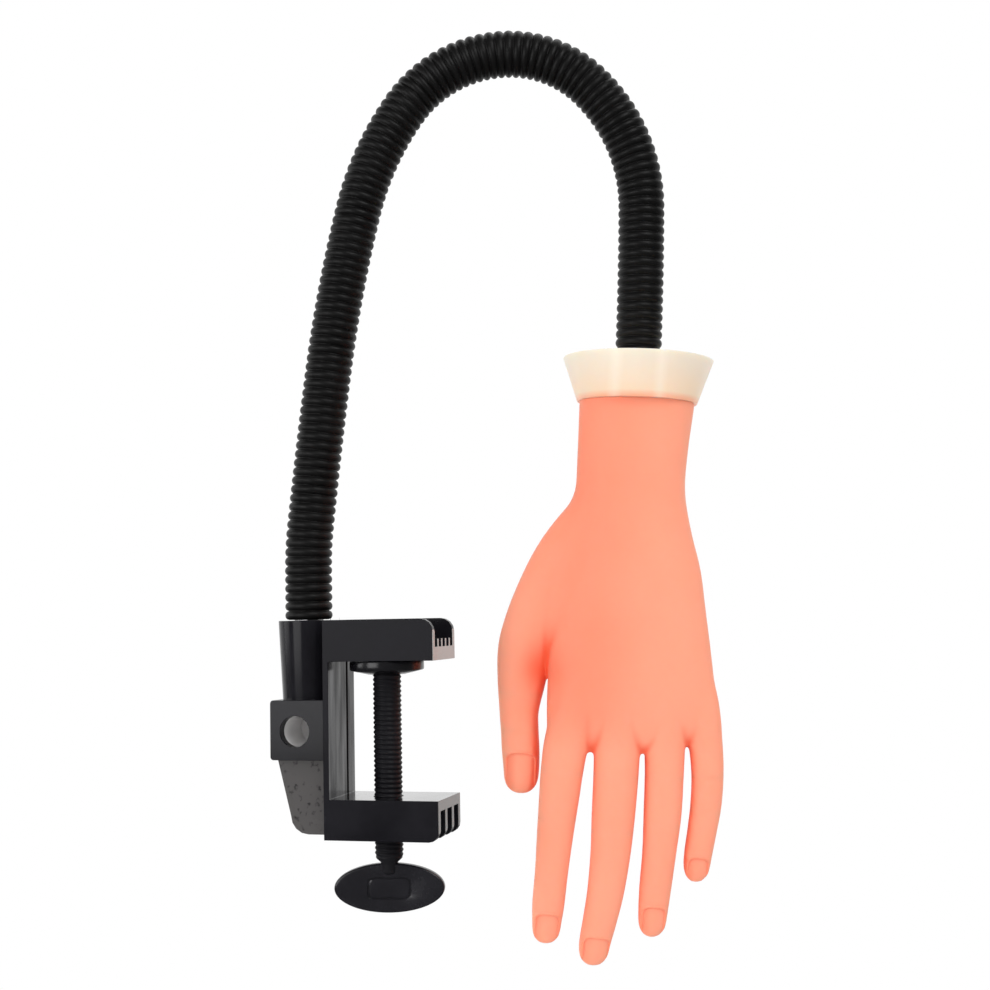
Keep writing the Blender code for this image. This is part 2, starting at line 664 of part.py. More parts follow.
def build_collar(cream, steel):
    """The cream collar, with the stud, washer and nut that hold it to the gooseneck."""
    top, down, across, back = collar_frame()
    seat_radius = HOSE_CREST_RADIUS + CLEARANCE
    bore_radius = STUD_RADIUS + CLEARANCE
    web_foot = COLLAR_SEAT_DEPTH + COLLAR_WEB
    spigot_foot = COLLAR_HEIGHT + SPIGOT_LENGTH
    profile = (
        (seat_radius, 0.0),
        (COLLAR_TOP_RADIUS, 0.0),
        (COLLAR_FOOT_RADIUS, COLLAR_HEIGHT),
        (SPIGOT_RADIUS, COLLAR_HEIGHT),
        (SPIGOT_FOOT_RADIUS, spigot_foot),
        (COLLAR_POCKET_RADIUS, spigot_foot),
        (COLLAR_POCKET_RADIUS, web_foot),
        (bore_radius, web_foot),
        (bore_radius, COLLAR_SEAT_DEPTH),
        (seat_radius, COLLAR_SEAT_DEPTH),
    )
    turned("wrist_collar", profile, top, down, cream, ring_profile=True)

    stud_top = COLLAR_SEAT_DEPTH
    stud = ((STUD_RADIUS, stud_top), (STUD_RADIUS, stud_top + STUD_LENGTH))
    turned("neck_stud", stud, top, down, steel)

    washer_top = web_foot + CLEARANCE
    washer_foot = washer_top + WASHER_THICKNESS
    washer = ((bore_radius, washer_top), (WASHER_RADIUS, washer_top),
              (WASHER_RADIUS, washer_foot), (bore_radius, washer_foot))
    turned("stud_washer", washer, top, down, steel, ring_profile=True)

    nut_top = washer_foot + CLEARANCE
    nut_foot = nut_top + NUT_HEIGHT
    first = down.orthogonal().normalized()
    second = down.cross(first)
    outer = [circle(top + down * depth, first, second, NUT_RADIUS, 6) for depth in (nut_top, nut_foot)]
    nut = loft("stud_nut", outer, steel)
    bore = ((bore_radius, nut_top - CUT_OVERRUN), (bore_radius, nut_foot + CUT_OVERRUN))
    combine(nut, turned("cut_nut_bore", bore, top, down, None, sides=SMALL_SIDES), "DIFFERENCE")


def hand_point(along, across, lift):
    """A point of the hand from shares of its length, measured from the wrist."""
    top, down, right, back = collar_frame()
    wrist = top + down * (COLLAR_HEIGHT + CLEARANCE)
    return wrist + (down * along + right * across + back * lift) * HAND_LENGTH


def between(stations, along):
    """A station at any place, on a smooth curve through the given ones."""
    last = len(stations) - 1
    index = 0
    while index < last - 1 and along > stations[index + 1][0]:
        index += 1
    before = stations[max(index - 1, 0)]
    near, far = stations[index], stations[index + 1]
    after = stations[min(index + 2, last)]
    span = far[0] - near[0]
    share = (along - near[0]) / span
    found = [along]
    for k in range(1, len(near)):
        slope_near = (far[k] - before[k]) / (far[0] - before[0]) * span
        slope_far = (after[k] - near[k]) / (after[0] - near[0]) * span
        cube, square = share ** 3, share ** 2
        value = (2.0 * cube - 3.0 * square + 1.0) * near[k] + (cube - 2.0 * square + share) * slope_near
        value += (3.0 * square - 2.0 * cube) * far[k] + (cube - square) * slope_far
        found.append(value)
    return found


def superellipse(angle, power):
    """Cosine and sine of a rounded box shape."""
    wide, high = math.cos(angle), math.sin(angle)
    exponent = 2.0 / power
    return (math.copysign(abs(wide) ** exponent, wide), math.copysign(abs(high) ** exponent, high))


def palm_ring(along, wall=0.0):
    """A ring of the palm, or of the hollow that lies a wall inside it."""
    place, centre, half, back, front = between(PALM_STATIONS_share, max(along, 0.0))
    ring = []
    for i in range(PALM_SIDES):
        wide, high = superellipse(2.0 * math.pi * i / PALM_SIDES, PALM_SECTION_POWER)
        depth = back if high > 0.0 else front
        across = centre + (half - wall / HAND_LENGTH) * wide
        ring.append(hand_point(along, across, (depth - wall / HAND_LENGTH) * high))
    return ring


def digit_axis(digit, along):
    """Point, direction and half width of a digit's centre line."""
    stations = DIGIT_STATIONS_share[digit]
    low = max(along - AXIS_STEP_share, stations[0][0])
    high = min(along + AXIS_STEP_share, stations[-1][0])
    place, across, half, lift = between(stations, along)
    before = between(stations, low)
    after = between(stations, high)
    direction = hand_point(high, after[1], after[3]) - hand_point(low, before[1], before[3])
    return hand_point(along, across, lift), direction.normalized(), half * HAND_LENGTH


def digit_cross(direction):
    """The directions across and up to the back of a digit."""
    top, down, right, back = collar_frame()
    up = (back - direction * back.dot(direction)).normalized()
    across = direction.cross(up)
    if across.dot(right) < 0.0:
        across = -across
    return across, up


def digit_ring(digit, along, shift=0.0, radius=None):
    """A ring of a digit, moved by shift along it. A given radius makes it round."""
    centre, direction, half = digit_axis(digit, along)
    across, up = digit_cross(direction)
    tip = DIGIT_STATIONS_share[digit][-1][0]
    rounding = 1.0
    if along > tip - TIP_ROUND_share:
        rounding = math.sqrt(max(0.0, 1.0 - ((along - tip + TIP_ROUND_share) / TIP_ROUND_share) ** 2))
    ring = []
    for i in range(DIGIT_SIDES):
        angle = 2.0 * math.pi * i / DIGIT_SIDES
        if radius is None:
            wide, high = superellipse(angle, DIGIT_SECTION_POWER)
            wide, high = wide * half * rounding, high * half * rounding * DIGIT_FLATNESS
        else:
            wide, high = radius * math.cos(angle), radius * math.sin(angle)
        ring.append(centre + direction * shift + across * wide + up * high)
    return ring


def spread(start, end, count):
    """Places from start to end, evenly set."""
    return [start + (end - start) * i / count for i in range(count + 1)]


def tip_places(start, tip):
    """Places along a digit's tip, closer together on the round end."""
    shoulder = tip - TIP_ROUND_share
    places = spread(start, shoulder, TIP_RINGS)
    for angle_share in TIP_RINGS_share:
        places.append(shoulder + TIP_ROUND_share * math.sin(0.5 * math.pi * angle_share))
    return places


def build_hand(skin, steel):
    """The soft skins of palm and digits, over the plate and wires that hold their pose."""
    half_gap = 0.5 * CLEARANCE
    wire_bore = WIRE_RADIUS + CLEARANCE
    palm_places = [station[0] for station in PALM_STATIONS_share]
    palm = loft("palm_skin", [palm_ring(along) for along in palm_places], skin)
    for digit, (root, second) in DIGIT_JOINTS_share.items():
        start = DIGIT_STATIONS_share[digit][0][0]
        places = spread(start, root, BASE_RINGS + 2)
        rings = [digit_ring(digit, along) for along in places[:-1]]
        rings.append(digit_ring(digit, root, shift=-half_gap))
        combine(palm, loft("add_root_" + digit, rings, None), "UNION")
    overrun = CUT_OVERRUN / HAND_LENGTH
    cavity_places = [-overrun] + spread(0.0, CAVITY_END_SHARE, 2 * BASE_RINGS)
    cavity = loft("cut_palm_hollow", [palm_ring(along, SKIN_WALL) for along in cavity_places], None)
    combine(palm, cavity, "DIFFERENCE")

    plate_half = 0.5 * PLATE_WIDTH_SHARE
    thick = 0.5 * PLATE_THICKNESS / HAND_LENGTH
    rings = []
    for along in spread(PLATE_START_SHARE, PLATE_END_SHARE, 3):
        corners = ((-plate_half, thick), (plate_half, thick), (plate_half, -thick), (-plate_half, -thick))
        rings.append([hand_point(along, across, lift) for across, lift in corners])
    plate = loft("palm_plate", rings, steel)

    for digit, (root, second) in DIGIT_JOINTS_share.items():
        build_digit_root(digit, root, palm, plate, wire_bore)
        tip = DIGIT_STATIONS_share[digit][-1][0]
        wire_end = second + (tip - second) * WIRE_INTO_TIP_SHARE

        places = spread(root, second, BASE_RINGS)
        rings = [digit_ring(digit, root, shift=half_gap)]
        rings += [digit_ring(digit, along) for along in places[1:-1]]
        rings.append(digit_ring(digit, second, shift=-half_gap))
        bore = [digit_ring(digit, root, shift=half_gap, radius=wire_bore)]
        bore += [digit_ring(digit, along, radius=wire_bore) for along in places[1:-1]]
        bore.append(digit_ring(digit, second, shift=-half_gap, radius=wire_bore))
        loft(digit + "_skin_base", rings, skin, inner_rings=bore, through=True)
        wire = [digit_ring(digit, root, shift=half_gap, radius=WIRE_RADIUS)]
        wire += [digit_ring(digit, along, radius=WIRE_RADIUS) for along in places[1:-1]]
        wire.append(digit_ring(digit, second, shift=-half_gap, radius=WIRE_RADIUS))
        loft(digit + "_wire_base", wire, steel)

        places = tip_places(second, tip)
        rings = [digit_ring(digit, second, shift=half_gap)]
        rings += [digit_ring(digit, along) for along in places[1:]]
        wire_places = spread(second, wire_end, BASE_RINGS)
        bore = [digit_ring(digit, second, shift=half_gap, radius=wire_bore)]
        bore += [digit_ring(digit, along, radius=wire_bore) for along in wire_places[1:-1]]
        bore.append(digit_ring(digit, wire_end, shift=CLEARANCE, radius=wire_bore))
        loft(digit + "_skin_tip", rings, skin, inner_rings=bore)
        wire = [digit_ring(digit, second, shift=half_gap, radius=WIRE_RADIUS)]
        wire += [digit_ring(digit, along, radius=WIRE_RADIUS) for along in wire_places[1:]]
        loft(digit + "_wire_tip", wire, steel)


def build_digit_root(digit, root, palm, plate, wire_bore):
    """A digit's wire from the palm plate to the digit's first joint, and its way through the skin."""
    half_gap = 0.5 * CLEARANCE
    knuckle, direction, half = digit_axis(digit, root)
    anchor_along = PLATE_END_SHARE - 0.5 * PLATE_WIDTH_SHARE
    anchor = hand_point(anchor_along, PLATE_ANCHORS_share[digit], 0.0)
    elbow = knuckle - direction * (HAND_LENGTH / HAND_TO_DIGIT_SOCKET_share)
    path = (anchor, elbow, knuckle)
    for target, radius, end, operation, label in (
        (plate, WIRE_RADIUS, -half_gap, "UNION", "add_root_wire_"),
        (palm, wire_bore, half_gap + CLEARANCE, "DIFFERENCE", "cut_root_wire_"),
    ):
        rings = []
        across, up = digit_cross(direction)
        for point in path[:-1] + (knuckle + direction * end,):
            rings.append(circle(point, across, up, radius, SMALL_SIDES))
        combine(target, loft(label + digit, rings, None), operation)


def main():
    """Build every piece of the practice hand."""
    clear_scene()
    black = make_material("black_plastic", (0.013, 0.013, 0.014), 0.38)
    sleeve_black = make_material("sleeve_black", (0.011, 0.011, 0.012), 0.45)
    cream = make_material("cream_plastic", (0.85, 0.74, 0.62), 0.42)
    skin = make_material("soft_skin", (0.95, 0.36, 0.24), 0.50)
    steel = make_material("bright_steel", (0.62, 0.62, 0.63), 0.30, metallic=1.0)
    build_clamp_frame(black)
    build_clamp_screw(black, steel)
    build_neck(sleeve_black, steel)
    build_collar(cream, steel)
    build_hand(skin, steel)


if __name__ == "__main__":
    main()
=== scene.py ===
"""Looks of a nail practice hand: soft hand, ribbed gooseneck and table clamp.

Metres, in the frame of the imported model: the origin is at the underside of the
upper jaw on the clamp screw's axis. +X runs along the jaws to their open end.
"""

import math

import bmesh
import bpy
import numpy as np
from bpy.props import FloatProperty, FloatVectorProperty, IntProperty, PointerProperty
from mathutils import Matrix, Vector
from mathutils.bvhtree import BVHTree


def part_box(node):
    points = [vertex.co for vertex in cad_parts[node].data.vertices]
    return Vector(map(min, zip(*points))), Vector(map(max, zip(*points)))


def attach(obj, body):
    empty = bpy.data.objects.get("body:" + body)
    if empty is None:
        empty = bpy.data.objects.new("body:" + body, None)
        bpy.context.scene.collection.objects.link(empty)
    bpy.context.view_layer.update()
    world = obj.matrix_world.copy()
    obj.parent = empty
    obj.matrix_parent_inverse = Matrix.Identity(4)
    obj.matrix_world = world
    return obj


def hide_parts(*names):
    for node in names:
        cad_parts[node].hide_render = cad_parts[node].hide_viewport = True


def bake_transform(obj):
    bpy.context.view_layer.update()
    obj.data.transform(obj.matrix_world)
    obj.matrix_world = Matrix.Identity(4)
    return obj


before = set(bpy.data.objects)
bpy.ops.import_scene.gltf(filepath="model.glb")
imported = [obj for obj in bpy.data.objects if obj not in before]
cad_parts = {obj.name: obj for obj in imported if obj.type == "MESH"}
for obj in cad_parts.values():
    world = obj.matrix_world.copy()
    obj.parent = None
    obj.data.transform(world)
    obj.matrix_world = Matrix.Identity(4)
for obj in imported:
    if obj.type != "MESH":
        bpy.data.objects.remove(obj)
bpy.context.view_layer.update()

bl_info = {
    "name": "Nail practice hand",
    "version": (1, 0, 0),
    "blender": (4, 5, 0),
    "location": "View3D > Sidebar > Practice Hand",
    "description": "Builds the looks of a nail practice hand on a clamp-on gooseneck",
    "category": "Object",
}

MM = 0.001

# Places that the looks share with the construction
SCREW_FROM_SOCKET = 31.6 * MM
UPPER_JAW_HEIGHT = 15.6 * MM
ARCH_YAW = math.radians(15.0)
NECK_ARCS = (
    (20.0 * MM, math.radians(0.0)),
    (16.5 * MM, math.radians(6.4)),
    (60.5 * MM, math.radians(1.4)),
    (66.5 * MM, math.radians(6.5)),
    (45.0 * MM, math.radians(21.3)),
    (45.0 * MM, math.radians(50.0)),
    (40.0 * MM, math.radians(50.7)),
    (54.5 * MM, math.radians(45.4)),
    (44.0 * MM, math.radians(1.5)),
    (20.0 * MM, math.radians(0.0)),
)
NECK_LEAN = math.radians(-1.0)
LEAN_START = 353.0 * MM
LEAN_LENGTH = 25.0 * MM
NECK_STEP = 0.5 * MM
NECK_JOINT_PLACES = (22.0 * MM, 75.0 * MM, 130.0 * MM, 185.0 * MM, 240.0 * MM, 295.0 * MM, 350.0 * MM)
NECK_START_GAP = 0.3 * MM
# Under 1 makes the ribs full and the grooves narrow
RIB_POWER = 0.42

# Clamp body
SPINE_FROM_SOCKET = 10.8 * MM
SPINE_THICKNESS = 2.2 * MM
SOCKET_HEIGHT = 31.1 * MM
CROSS_BOSS_LEFT = 11.2 * MM
CROSS_BOSS_HEIGHT = 21.4 * MM
CROSS_BOSS_DEPTH = 25.0 * MM
GUSSET_HALF = 7.7 * MM
CLAMP_FOOT = 66.6 * MM
MARK_EDGE = 0.4 * MM
# How far into the cross socket its painted light starts
SOCKET_LIGHT_DEPTH = 4.0 * MM
MOULD_LINE_Y = 5.0 * MM
MOULD_LINE_WIDTH = 2.0 * MM
CLAMP_DEPTH = 28.0 * MM
JAW_OPENING = 51.2 * MM
UPPER_JAW_REACH = 54.5 * MM
LOWER_JAW_REACH = 55.7 * MM

# Shine of the clamp's faces: weights of a clear coat, and roughness of the upper jaw's end and of the mould
# line
PLAIN_GLOSS = 0.25
JAW_END_GLOSS = 0.3
GUSSET_GLOSS = 0.1
JAW_END_ROUGHNESS = 0.45
LINE_ROUGHNESS = 0.9

# Uneven colour and fine grain of the black plastic and of the sleeve
BLACK_GRAIN = {
    "patch_scale": 55.0,
    "grain_scale": 700.0,
    "bump": 0.10,
    "height": 0.00008,
    "contrast": 0.25,
}
SLEEVE_GRAIN = {
    "patch_scale": 70.0,
    "grain_scale": 1100.0,
    "bump": 0.10,
    "height": 0.00006,
    "contrast": 0.2,
}

# Clamp screw, paddle and pad
SCREW_RADIUS = 5.4 * MM
SCREW_ROOT_RADIUS = 4.95 * MM
SCREW_PITCH = 1.8 * MM
SCREW_TOP = 3.2 * MM
SCREW_THREAD_END = 74.2 * MM
SCREW_SHOULDER = 1.6 * MM
# Slope of the thread's flanks, and how flat its root is
THREAD_SLOPE = 1.35
THREAD_ROOT_FLAT = 0.1
STEM_RADIUS = 3.2 * MM
STEM_END = 80.3 * MM
STEM_CHAMFER = 1.5 * MM
PADDLE_WIDTH = 41.8 * MM
PADDLE_HEIGHT = 18.4 * MM
PADDLE_THICKNESS = 4.2 * MM
PADDLE_CENTRE = 85.2 * MM
PADDLE_TURN = math.radians(12.0)
PANEL_WIDTH = 16.9 * MM
PANEL_HEIGHT = 8.4 * MM
PANEL_DEPTH = 0.5 * MM
PANEL_EDGE = 0.35 * MM
PADDLE_ROUNDING = 1.0 * MM
PANEL_POWER = 5.0
# Each row: inset from the panel's outline in edge widths, share of the panel's depth
PANEL_GROOVE_SHARES = (
    (6.0, 0.15), (2.9, 0.15), (2.6, 0.3), (2.3, 1.0), (0.6, 1.0), (0.2, 0.25), (-0.6, 0.0),
)
PAD_RIM = 3.3 * MM
PAD_ROUNDING = 0.6 * MM
PAD_NECK_RADIUS = 7.2 * MM
PAD_ROOF = 2.6 * MM
PAD_SCREW_HOLE_RADIUS = 3.7 * MM

# Wrist collar, measured down from its top face
COLLAR_TOP_RADIUS = 29.4 * MM
COLLAR_FOOT_RADIUS = 23.5 * MM
COLLAR_HEIGHT = 17.0 * MM
COLLAR_SEAT_DEPTH = 3.6 * MM
COLLAR_SEAT_RADIUS = 9.4 * MM
COLLAR_ROUNDING = 0.5 * MM
COLLAR_FOOT_REACH = 0.25 * MM
# Two upright bands of painted light down the collar: their middle across, their places either side of it,
# their half width and their colour
COLLAR_LIGHT_BAND_CENTRE = -2.1 * MM
COLLAR_LIGHT_BAND_PLACE = 8.5 * MM
COLLAR_LIGHT_BAND_HALF = 3.0 * MM
COLLAR_LIGHT_BAND_COLOUR = (0.97, 0.90, 0.78)
# Shares of the collar's height: where its painted light from the skin starts, and the span of its peach rim
COLLAR_WARM_START = 0.15
COLLAR_RIM_SPAN = (0.87, 0.99)
COLLAR_POCKET_RADIUS = 12.6 * MM
COLLAR_WEB_FOOT = 8.6 * MM
SPIGOT_RADIUS = 16.4 * MM
SPIGOT_FOOT_RADIUS = 15.8 * MM
SPIGOT_LENGTH = 10.0 * MM
STUD_BORE_RADIUS = 4.5 * MM
PIECE_GAP = 0.3 * MM

# Hand: places and sizes below are shares of HAND_LENGTH
HAND_LENGTH = 216.0 * MM
PALM_SECTION_POWER = 2.3
DIGIT_SECTION_POWER = 2.15
DIGIT_FLATNESS = 0.90
WRIST_OVERRUN_SHARE = 0.03
TIP_ROUND_SHARE = 0.034
TIP_POWER = 2.4

# How far the web beside the little finger lies towards the wrist
LITTLE_WEB_LEAD_SHARE = 0.018
LITTLE_WEB_START_SHARE = (0.5, 0.05)
LITTLE_WEB_RAMP_SHARE = (0.1, 0.05)

# Each row: along the hand, across it, half width, height of the back, depth of the palm
PALM_STATIONS_SHARE = (
    (0.000, 0, 0.1045, 0.093, 0.093),
    (0.087, -0.005, 0.1, 0.082, 0.084),
    (0.160, -0.0065, 0.099, 0.072, 0.078),
    (0.233, 0.002, 0.105, 0.066, 0.074),
    (0.297, 0.0065, 0.1185, 0.062, 0.072),
    (0.370, 0.005, 0.1315, 0.060, 0.072),
    (0.442, 0.0035, 0.1445, 0.058, 0.070),
    (0.514, 0.0065, 0.1515, 0.054, 0.064),
    (0.577, 0.012, 0.156, 0.042, 0.052),
    (0.612, 0.0125, 0.153, 0.027, 0.038),
    (0.630, 0.0135, 0.146, 0.011, 0.018),
)

# Each row: along the hand, across it, half width, lift towards the back
DIGIT_STATIONS_SHARE = {
    "thumb": (
        (0.189, -0.042, 0.06, -0.012),
        (0.282, -0.1135, 0.060, -0.022),
        (0.374, -0.1635, 0.053, -0.030),
        (0.447, -0.1855, 0.05, -0.034),
        (0.511, -0.191, 0.044, -0.036),
        (0.565, -0.1935, 0.036, -0.037),
        (0.600, -0.191, 0.0345, -0.038),
        (0.636, -0.188, 0.0345, -0.039),
        (0.672, -0.1855, 0.0325, -0.041),
        (0.714, -0.186, 0.029, -0.044),
    ),
    "index": (
        (0.470, -0.075, 0.040, 0.001),
        (0.535, -0.0895, 0.041, 0.009),
        (0.616, -0.1075, 0.04, 0.003),
        (0.670, -0.114, 0.038, 0.001),
        (0.706, -0.1165, 0.0365, -0.001),
        (0.777, -0.1215, 0.033, -0.007),
        (0.848, -0.1255, 0.03, -0.016),
        (0.910, -0.129, 0.029, -0.027),
        (0.948, -0.1305, 0.026, -0.035),
        (0.980, -0.1315, 0.025, -0.042),
    ),
    "middle": (
        (0.468, -0.0165, 0.040, 0.004),
        (0.533, -0.0185, 0.042, 0.012),
        (0.614, -0.017, 0.0415, 0.005),
        (0.667, -0.017, 0.0405, 0.003),
        (0.739, -0.019, 0.039, -0.001),
        (0.810, -0.0215, 0.036, -0.008),
        (0.881, -0.0275, 0.033, -0.018),
        (0.934, -0.0355, 0.0305, -0.028),
        (0.980, -0.043, 0.028, -0.038),
        (1.017, -0.044, 0.0255, -0.047),
    ),
    "ring": (
        (0.466, 0.059, 0.036, 0.004),
        (0.531, 0.0665, 0.038, 0.011),
        (0.611, 0.0685, 0.0365, 0.003),
        (0.665, 0.0695, 0.035, 0.001),
        (0.736, 0.069, 0.034, -0.004),
        (0.807, 0.066, 0.0305, -0.012),
        (0.878, 0.0615, 0.0285, -0.023),
        (0.931, 0.0595, 0.0255, -0.033),
        (0.961, 0.0595, 0.023, -0.040),
    ),
    "little": (
        (0.464, 0.112, 0.031, -0.002),
        (0.529, 0.1295, 0.033, 0.006),
        (0.610, 0.1425, 0.0305, -0.002),
        (0.663, 0.1475, 0.029, -0.004),
        (0.717, 0.147, 0.028, -0.009),
        (0.761, 0.1425, 0.0265, -0.014),
        (0.814, 0.1365, 0.025, -0.022),
        (0.859, 0.1345, 0.0215, -0.031),
    ),
}

# The web of skin between thumb and palm: along, across, half width, lift, half thickness
WEB_STATIONS_SHARE = (
    (0.140, -0.055, 0.045, -0.004, 0.052),
    (0.210, -0.076, 0.0475, -0.004, 0.052),
    (0.290, -0.096, 0.054, -0.008, 0.050),
    (0.360, -0.114, 0.050, -0.014, 0.044),
    (0.420, -0.127, 0.040, -0.019, 0.036),
    (0.470, -0.136, 0.026, -0.024, 0.025),
    (0.503, -0.141, 0.012, -0.027, 0.014),
)

# Where each digit leaves the palm, and where its second joint lies, along the hand
DIGIT_JOINTS_SHARE = {
    "thumb": (0.556, 0.636),
    "index": (0.688, 0.812),
    "middle": (0.694, 0.842),
    "ring": (0.692, 0.818),
    "little": (0.688, 0.768),
}
SKIN_BEND_REACH = 9.0 * MM
SKIN_BEND_LEAD = 5.0 * MM

# Nail seats: where each starts along the hand, and its half width
NAIL_SEATS_SHARE = {
    "thumb": (0.637, 0.0262),
    "index": (0.917, 0.0205),
    "middle": (0.9555, 0.0225),
    "ring": (0.898, 0.0195),
    "little": (0.808, 0.0175),
}
NAIL_DEPTH = 0.65 * MM
NAIL_LIP = 0.34 * MM
NAIL_EDGE = 0.60 * MM
NAIL_ROUND_SHARE = 0.016
NAIL_POWER = 2.6
NAIL_REACH_SHARE = 0.12
NAIL_FADE_START = 0.05
NAIL_FADE = 0.35
# How far below its digit's middle a seat still acts, and the finer faces round it, in half widths
NAIL_DROP = 0.1
NAIL_SPLIT_DROP = 0.2
# How far before a seat's start and beyond its length the faces are finer
NAIL_SPLIT_LEAD = 2.0 * MM
NAIL_SPLIT_REACH_SHARE = 0.02

# The hollow between thumb and palm: its middle along and across, and its reach both ways
THUMB_HOLLOW_SHARE = (0.487, -0.156, 0.040, 0.032)
HOLLOW_DEPTH = 1.2 * MM

# How far along the hand the palm is smoothed more, and over what length that fades out
PALM_SOFT_END_SHARE = 0.50
PALM_SOFT_FADE_SHARE = 0.08

# Where the thumb's masks start, and how far they fade in, both along and across
THUMB_SHADE_START_SHARE = (0.40, -0.125)
THUMB_FIRM_START_SHARE = (0.38, -0.105)
THUMB_FADE_SHARE = (0.06, 0.03)

# Painted shade on the skin, a redder tone where shade falls: the depth of a fold, and how far off skin that
# faces it lies
FOLD_START = 0.05 * MM
FOLD_RANGE = 0.75 * MM
SHADE_RAY_LIFT = 0.4 * MM
SHADE_NEAR = 11.0 * MM
SHADE_FAR = 26.0 * MM
SHADE_EASE_STEPS = 16
SHADE_LAST_STEPS = 3
# How strong each painted shade is, from 0 to 1
CLOSE_SHADE = 0.62
FACING_SHADE = 0.46
FACING_BASE = 0.25
THUMB_SIDE_SHADE = 0.60
HOLLOW_SHADE = 0.90
BACK_SHADE = 0.32
NAIL_EDGE_SHADE = 0.30
NAIL_SHADE = 0.16
THUMB_NAIL_SHADE = 0.38
NAIL_SHADE_START = 0.2
NAIL_SHADE_RANGE = 0.6
# The painted shade on the thumb's side of the back, turned from the light: its place across, its reach, and
# where it ends
BACK_SHADE_PLACE_SHARE = -0.09
BACK_SHADE_REACH_SHARE = 0.09
BACK_SHADE_END_SHARE = 0.65
BACK_SHADE_FADE_SHARE = 0.1

# Tints of the skin's darker and lighter patches, and how much their gloss differs
SKIN_LOW_TINT = (1.0, 0.98, 0.97)
SKIN_HIGH_TINT = (1.0, 1.05, 1.06)
SKIN_GLOSS_SPREAD = 0.05

# Grain of skin and collar: scale of the patches and of the grain, bump strength, height in metres
SKIN_GRAIN = (28.0, 1400.0, 0.12, 0.00008)
COLLAR_GRAIN = (45.0, 1200.0, 0.08, 0.00006)

# Metals inside: colour, roughness and its spread, specular level, and the grain as above
INNER_METALS = {
    "wound_steel": ((0.50, 0.50, 0.51), 0.32, 0.08, 0.5, 90.0, 1500.0, 0.3, 0.0001),
    "soft_wire": ((0.66, 0.66, 0.67), 0.38, 0.06, 0.5, 120.0, 1800.0, 0.2, 0.00005),
    "zinc_plate": ((0.62, 0.63, 0.66), 0.24, 0.06, 0.5, 60.0, 900.0, 0.15, 0.00005),
}

# Camera: its place from the foot of the neck socket, and how it is tilted
CAMERA_DISTANCE = 583.0 * MM
CAMERA_ACROSS = 73.0 * MM
CAMERA_HEIGHT = 17.1 * MM
CAMERA_PITCH = math.radians(4.5)
CAMERA_ROLL = math.radians(1.1)
CAMERA_LENS_MM = 54.5
STAGE_HEIGHT = 64.0 * MM

# Each lamp: its place from the target, deep, across and up in metres, and its width
LAMPS = {
    "key_lamp": ((-0.75, 0.45, 0.7), 0.55),
    "fill_lamp": ((-0.8, -0.75, 0.1), 0.6),
    "side_lamp": ((0.0, -1.1, 0.1), 0.5),
    "rim_lamp": ((0.35, 0.2, 0.9), 0.5),
}
BACKDROP_DISTANCE = 0.9
BACKDROP_SIZE = (6.0, 5.0)
FLOOR_DROP = 0.42
FLOOR_DISTANCE = 0.4
FLOOR_SIZE = (6.0, 4.0)
SIDE_LAMP_SHARE = 0.5
RIM_LAMP_SHARE = 0.3

# Sockets of a Mix node: its factor, and its two colours
MIX_FACTOR, MIX_FIRST, MIX_SECOND = 0, 6, 7

SOCKET_AXIS = Vector((-SCREW_FROM_SOCKET, 0.0, 0.0))
ACROSS = Vector((math.cos(ARCH_YAW), math.sin(ARCH_YAW), 0.0))
DEEP = Vector((-math.sin(ARCH_YAW), math.cos(ARCH_YAW), 0.0))
UP = Vector((0.0, 0.0, 1.0))


# Small tools


def link(made):
    """Put an object into the scene."""
    bpy.context.scene.collection.objects.link(made)
    return made


def make_object(name, mesh_data, material):
    """Turn a bmesh into a linked object with one material."""
    bmesh.ops.recalc_face_normals(mesh_data, faces=mesh_data.faces)
    mesh = bpy.data.meshes.new(name)
    mesh_data.to_mesh(mesh)
    mesh_data.free()
    if material is not None:
        mesh.materials.append(material)
    mesh.shade_smooth()
    return link(bpy.data.objects.new(name, mesh))


def apply_modifiers(made):
    """Replace an object's mesh with its evaluated one and drop the modifiers."""
    graph = bpy.context.evaluated_depsgraph_get()
    graph.update()
    baked = bpy.data.meshes.new_from_object(made.evaluated_get(graph), depsgraph=graph)
    old = made.data
    if made.type == "MESH":
        made.modifiers.clear()
        made.data = baked
        if old.users == 0:
            bpy.data.meshes.remove(old)
        return made
    name = made.name
    bpy.data.objects.remove(made, do_unlink=True)
    baked.name = name
    return link(bpy.data.objects.new(name, baked))


def circle(centre, first, second, radius, sides):
    """Points of a circle in the plane of two unit vectors."""
    ring = []
    for i in range(sides):
        angle = 2.0 * math.pi * i / sides
        ring.append(centre + first * radius * math.cos(angle) + second * radius * math.sin(angle))
    return ring


def loft_into(mesh_data, rings, closed=False):
    """Add a lofted skin through rings of points. closed joins the last ring to the first."""
    made = [[mesh_data.verts.new(point) for point in ring] for ring in rings]
    pairs = list(zip(made, made[1:]))
    if closed:
        pairs.append((made[-1], made[0]))
    for near, far in pairs:
        count = len(near)
        for i in range(count):
            j = (i + 1) % count
            mesh_data.faces.new((near[i], near[j], far[j], far[i]))
    if not closed:
        mesh_data.faces.new(made[0])
        mesh_data.faces.new(made[-1])


def turned(name, profile, top, down, material, sides, closed=False):
    """A solid of revolution: profile rows are radius and distance along down."""
    first = down.orthogonal().normalized()
    second = down.cross(first).normalized()
    mesh_data = bmesh.new()
    loft_into(mesh_data, [circle(top + down * z, first, second, r, sides) for r, z in profile], closed)
    return make_object(name, mesh_data, material)


def add_bevel(made, width, segments=3, limit=30.0):
    """Round the edges of a moulded or turned piece."""
    modifier = made.modifiers.new("Edge rounding", "BEVEL")
    modifier.width = width
    modifier.segments = segments
    modifier.limit_method = "ANGLE"
    modifier.angle_limit = math.radians(limit)
    modifier.harden_normals = True
    modifier.use_clamp_overlap = True


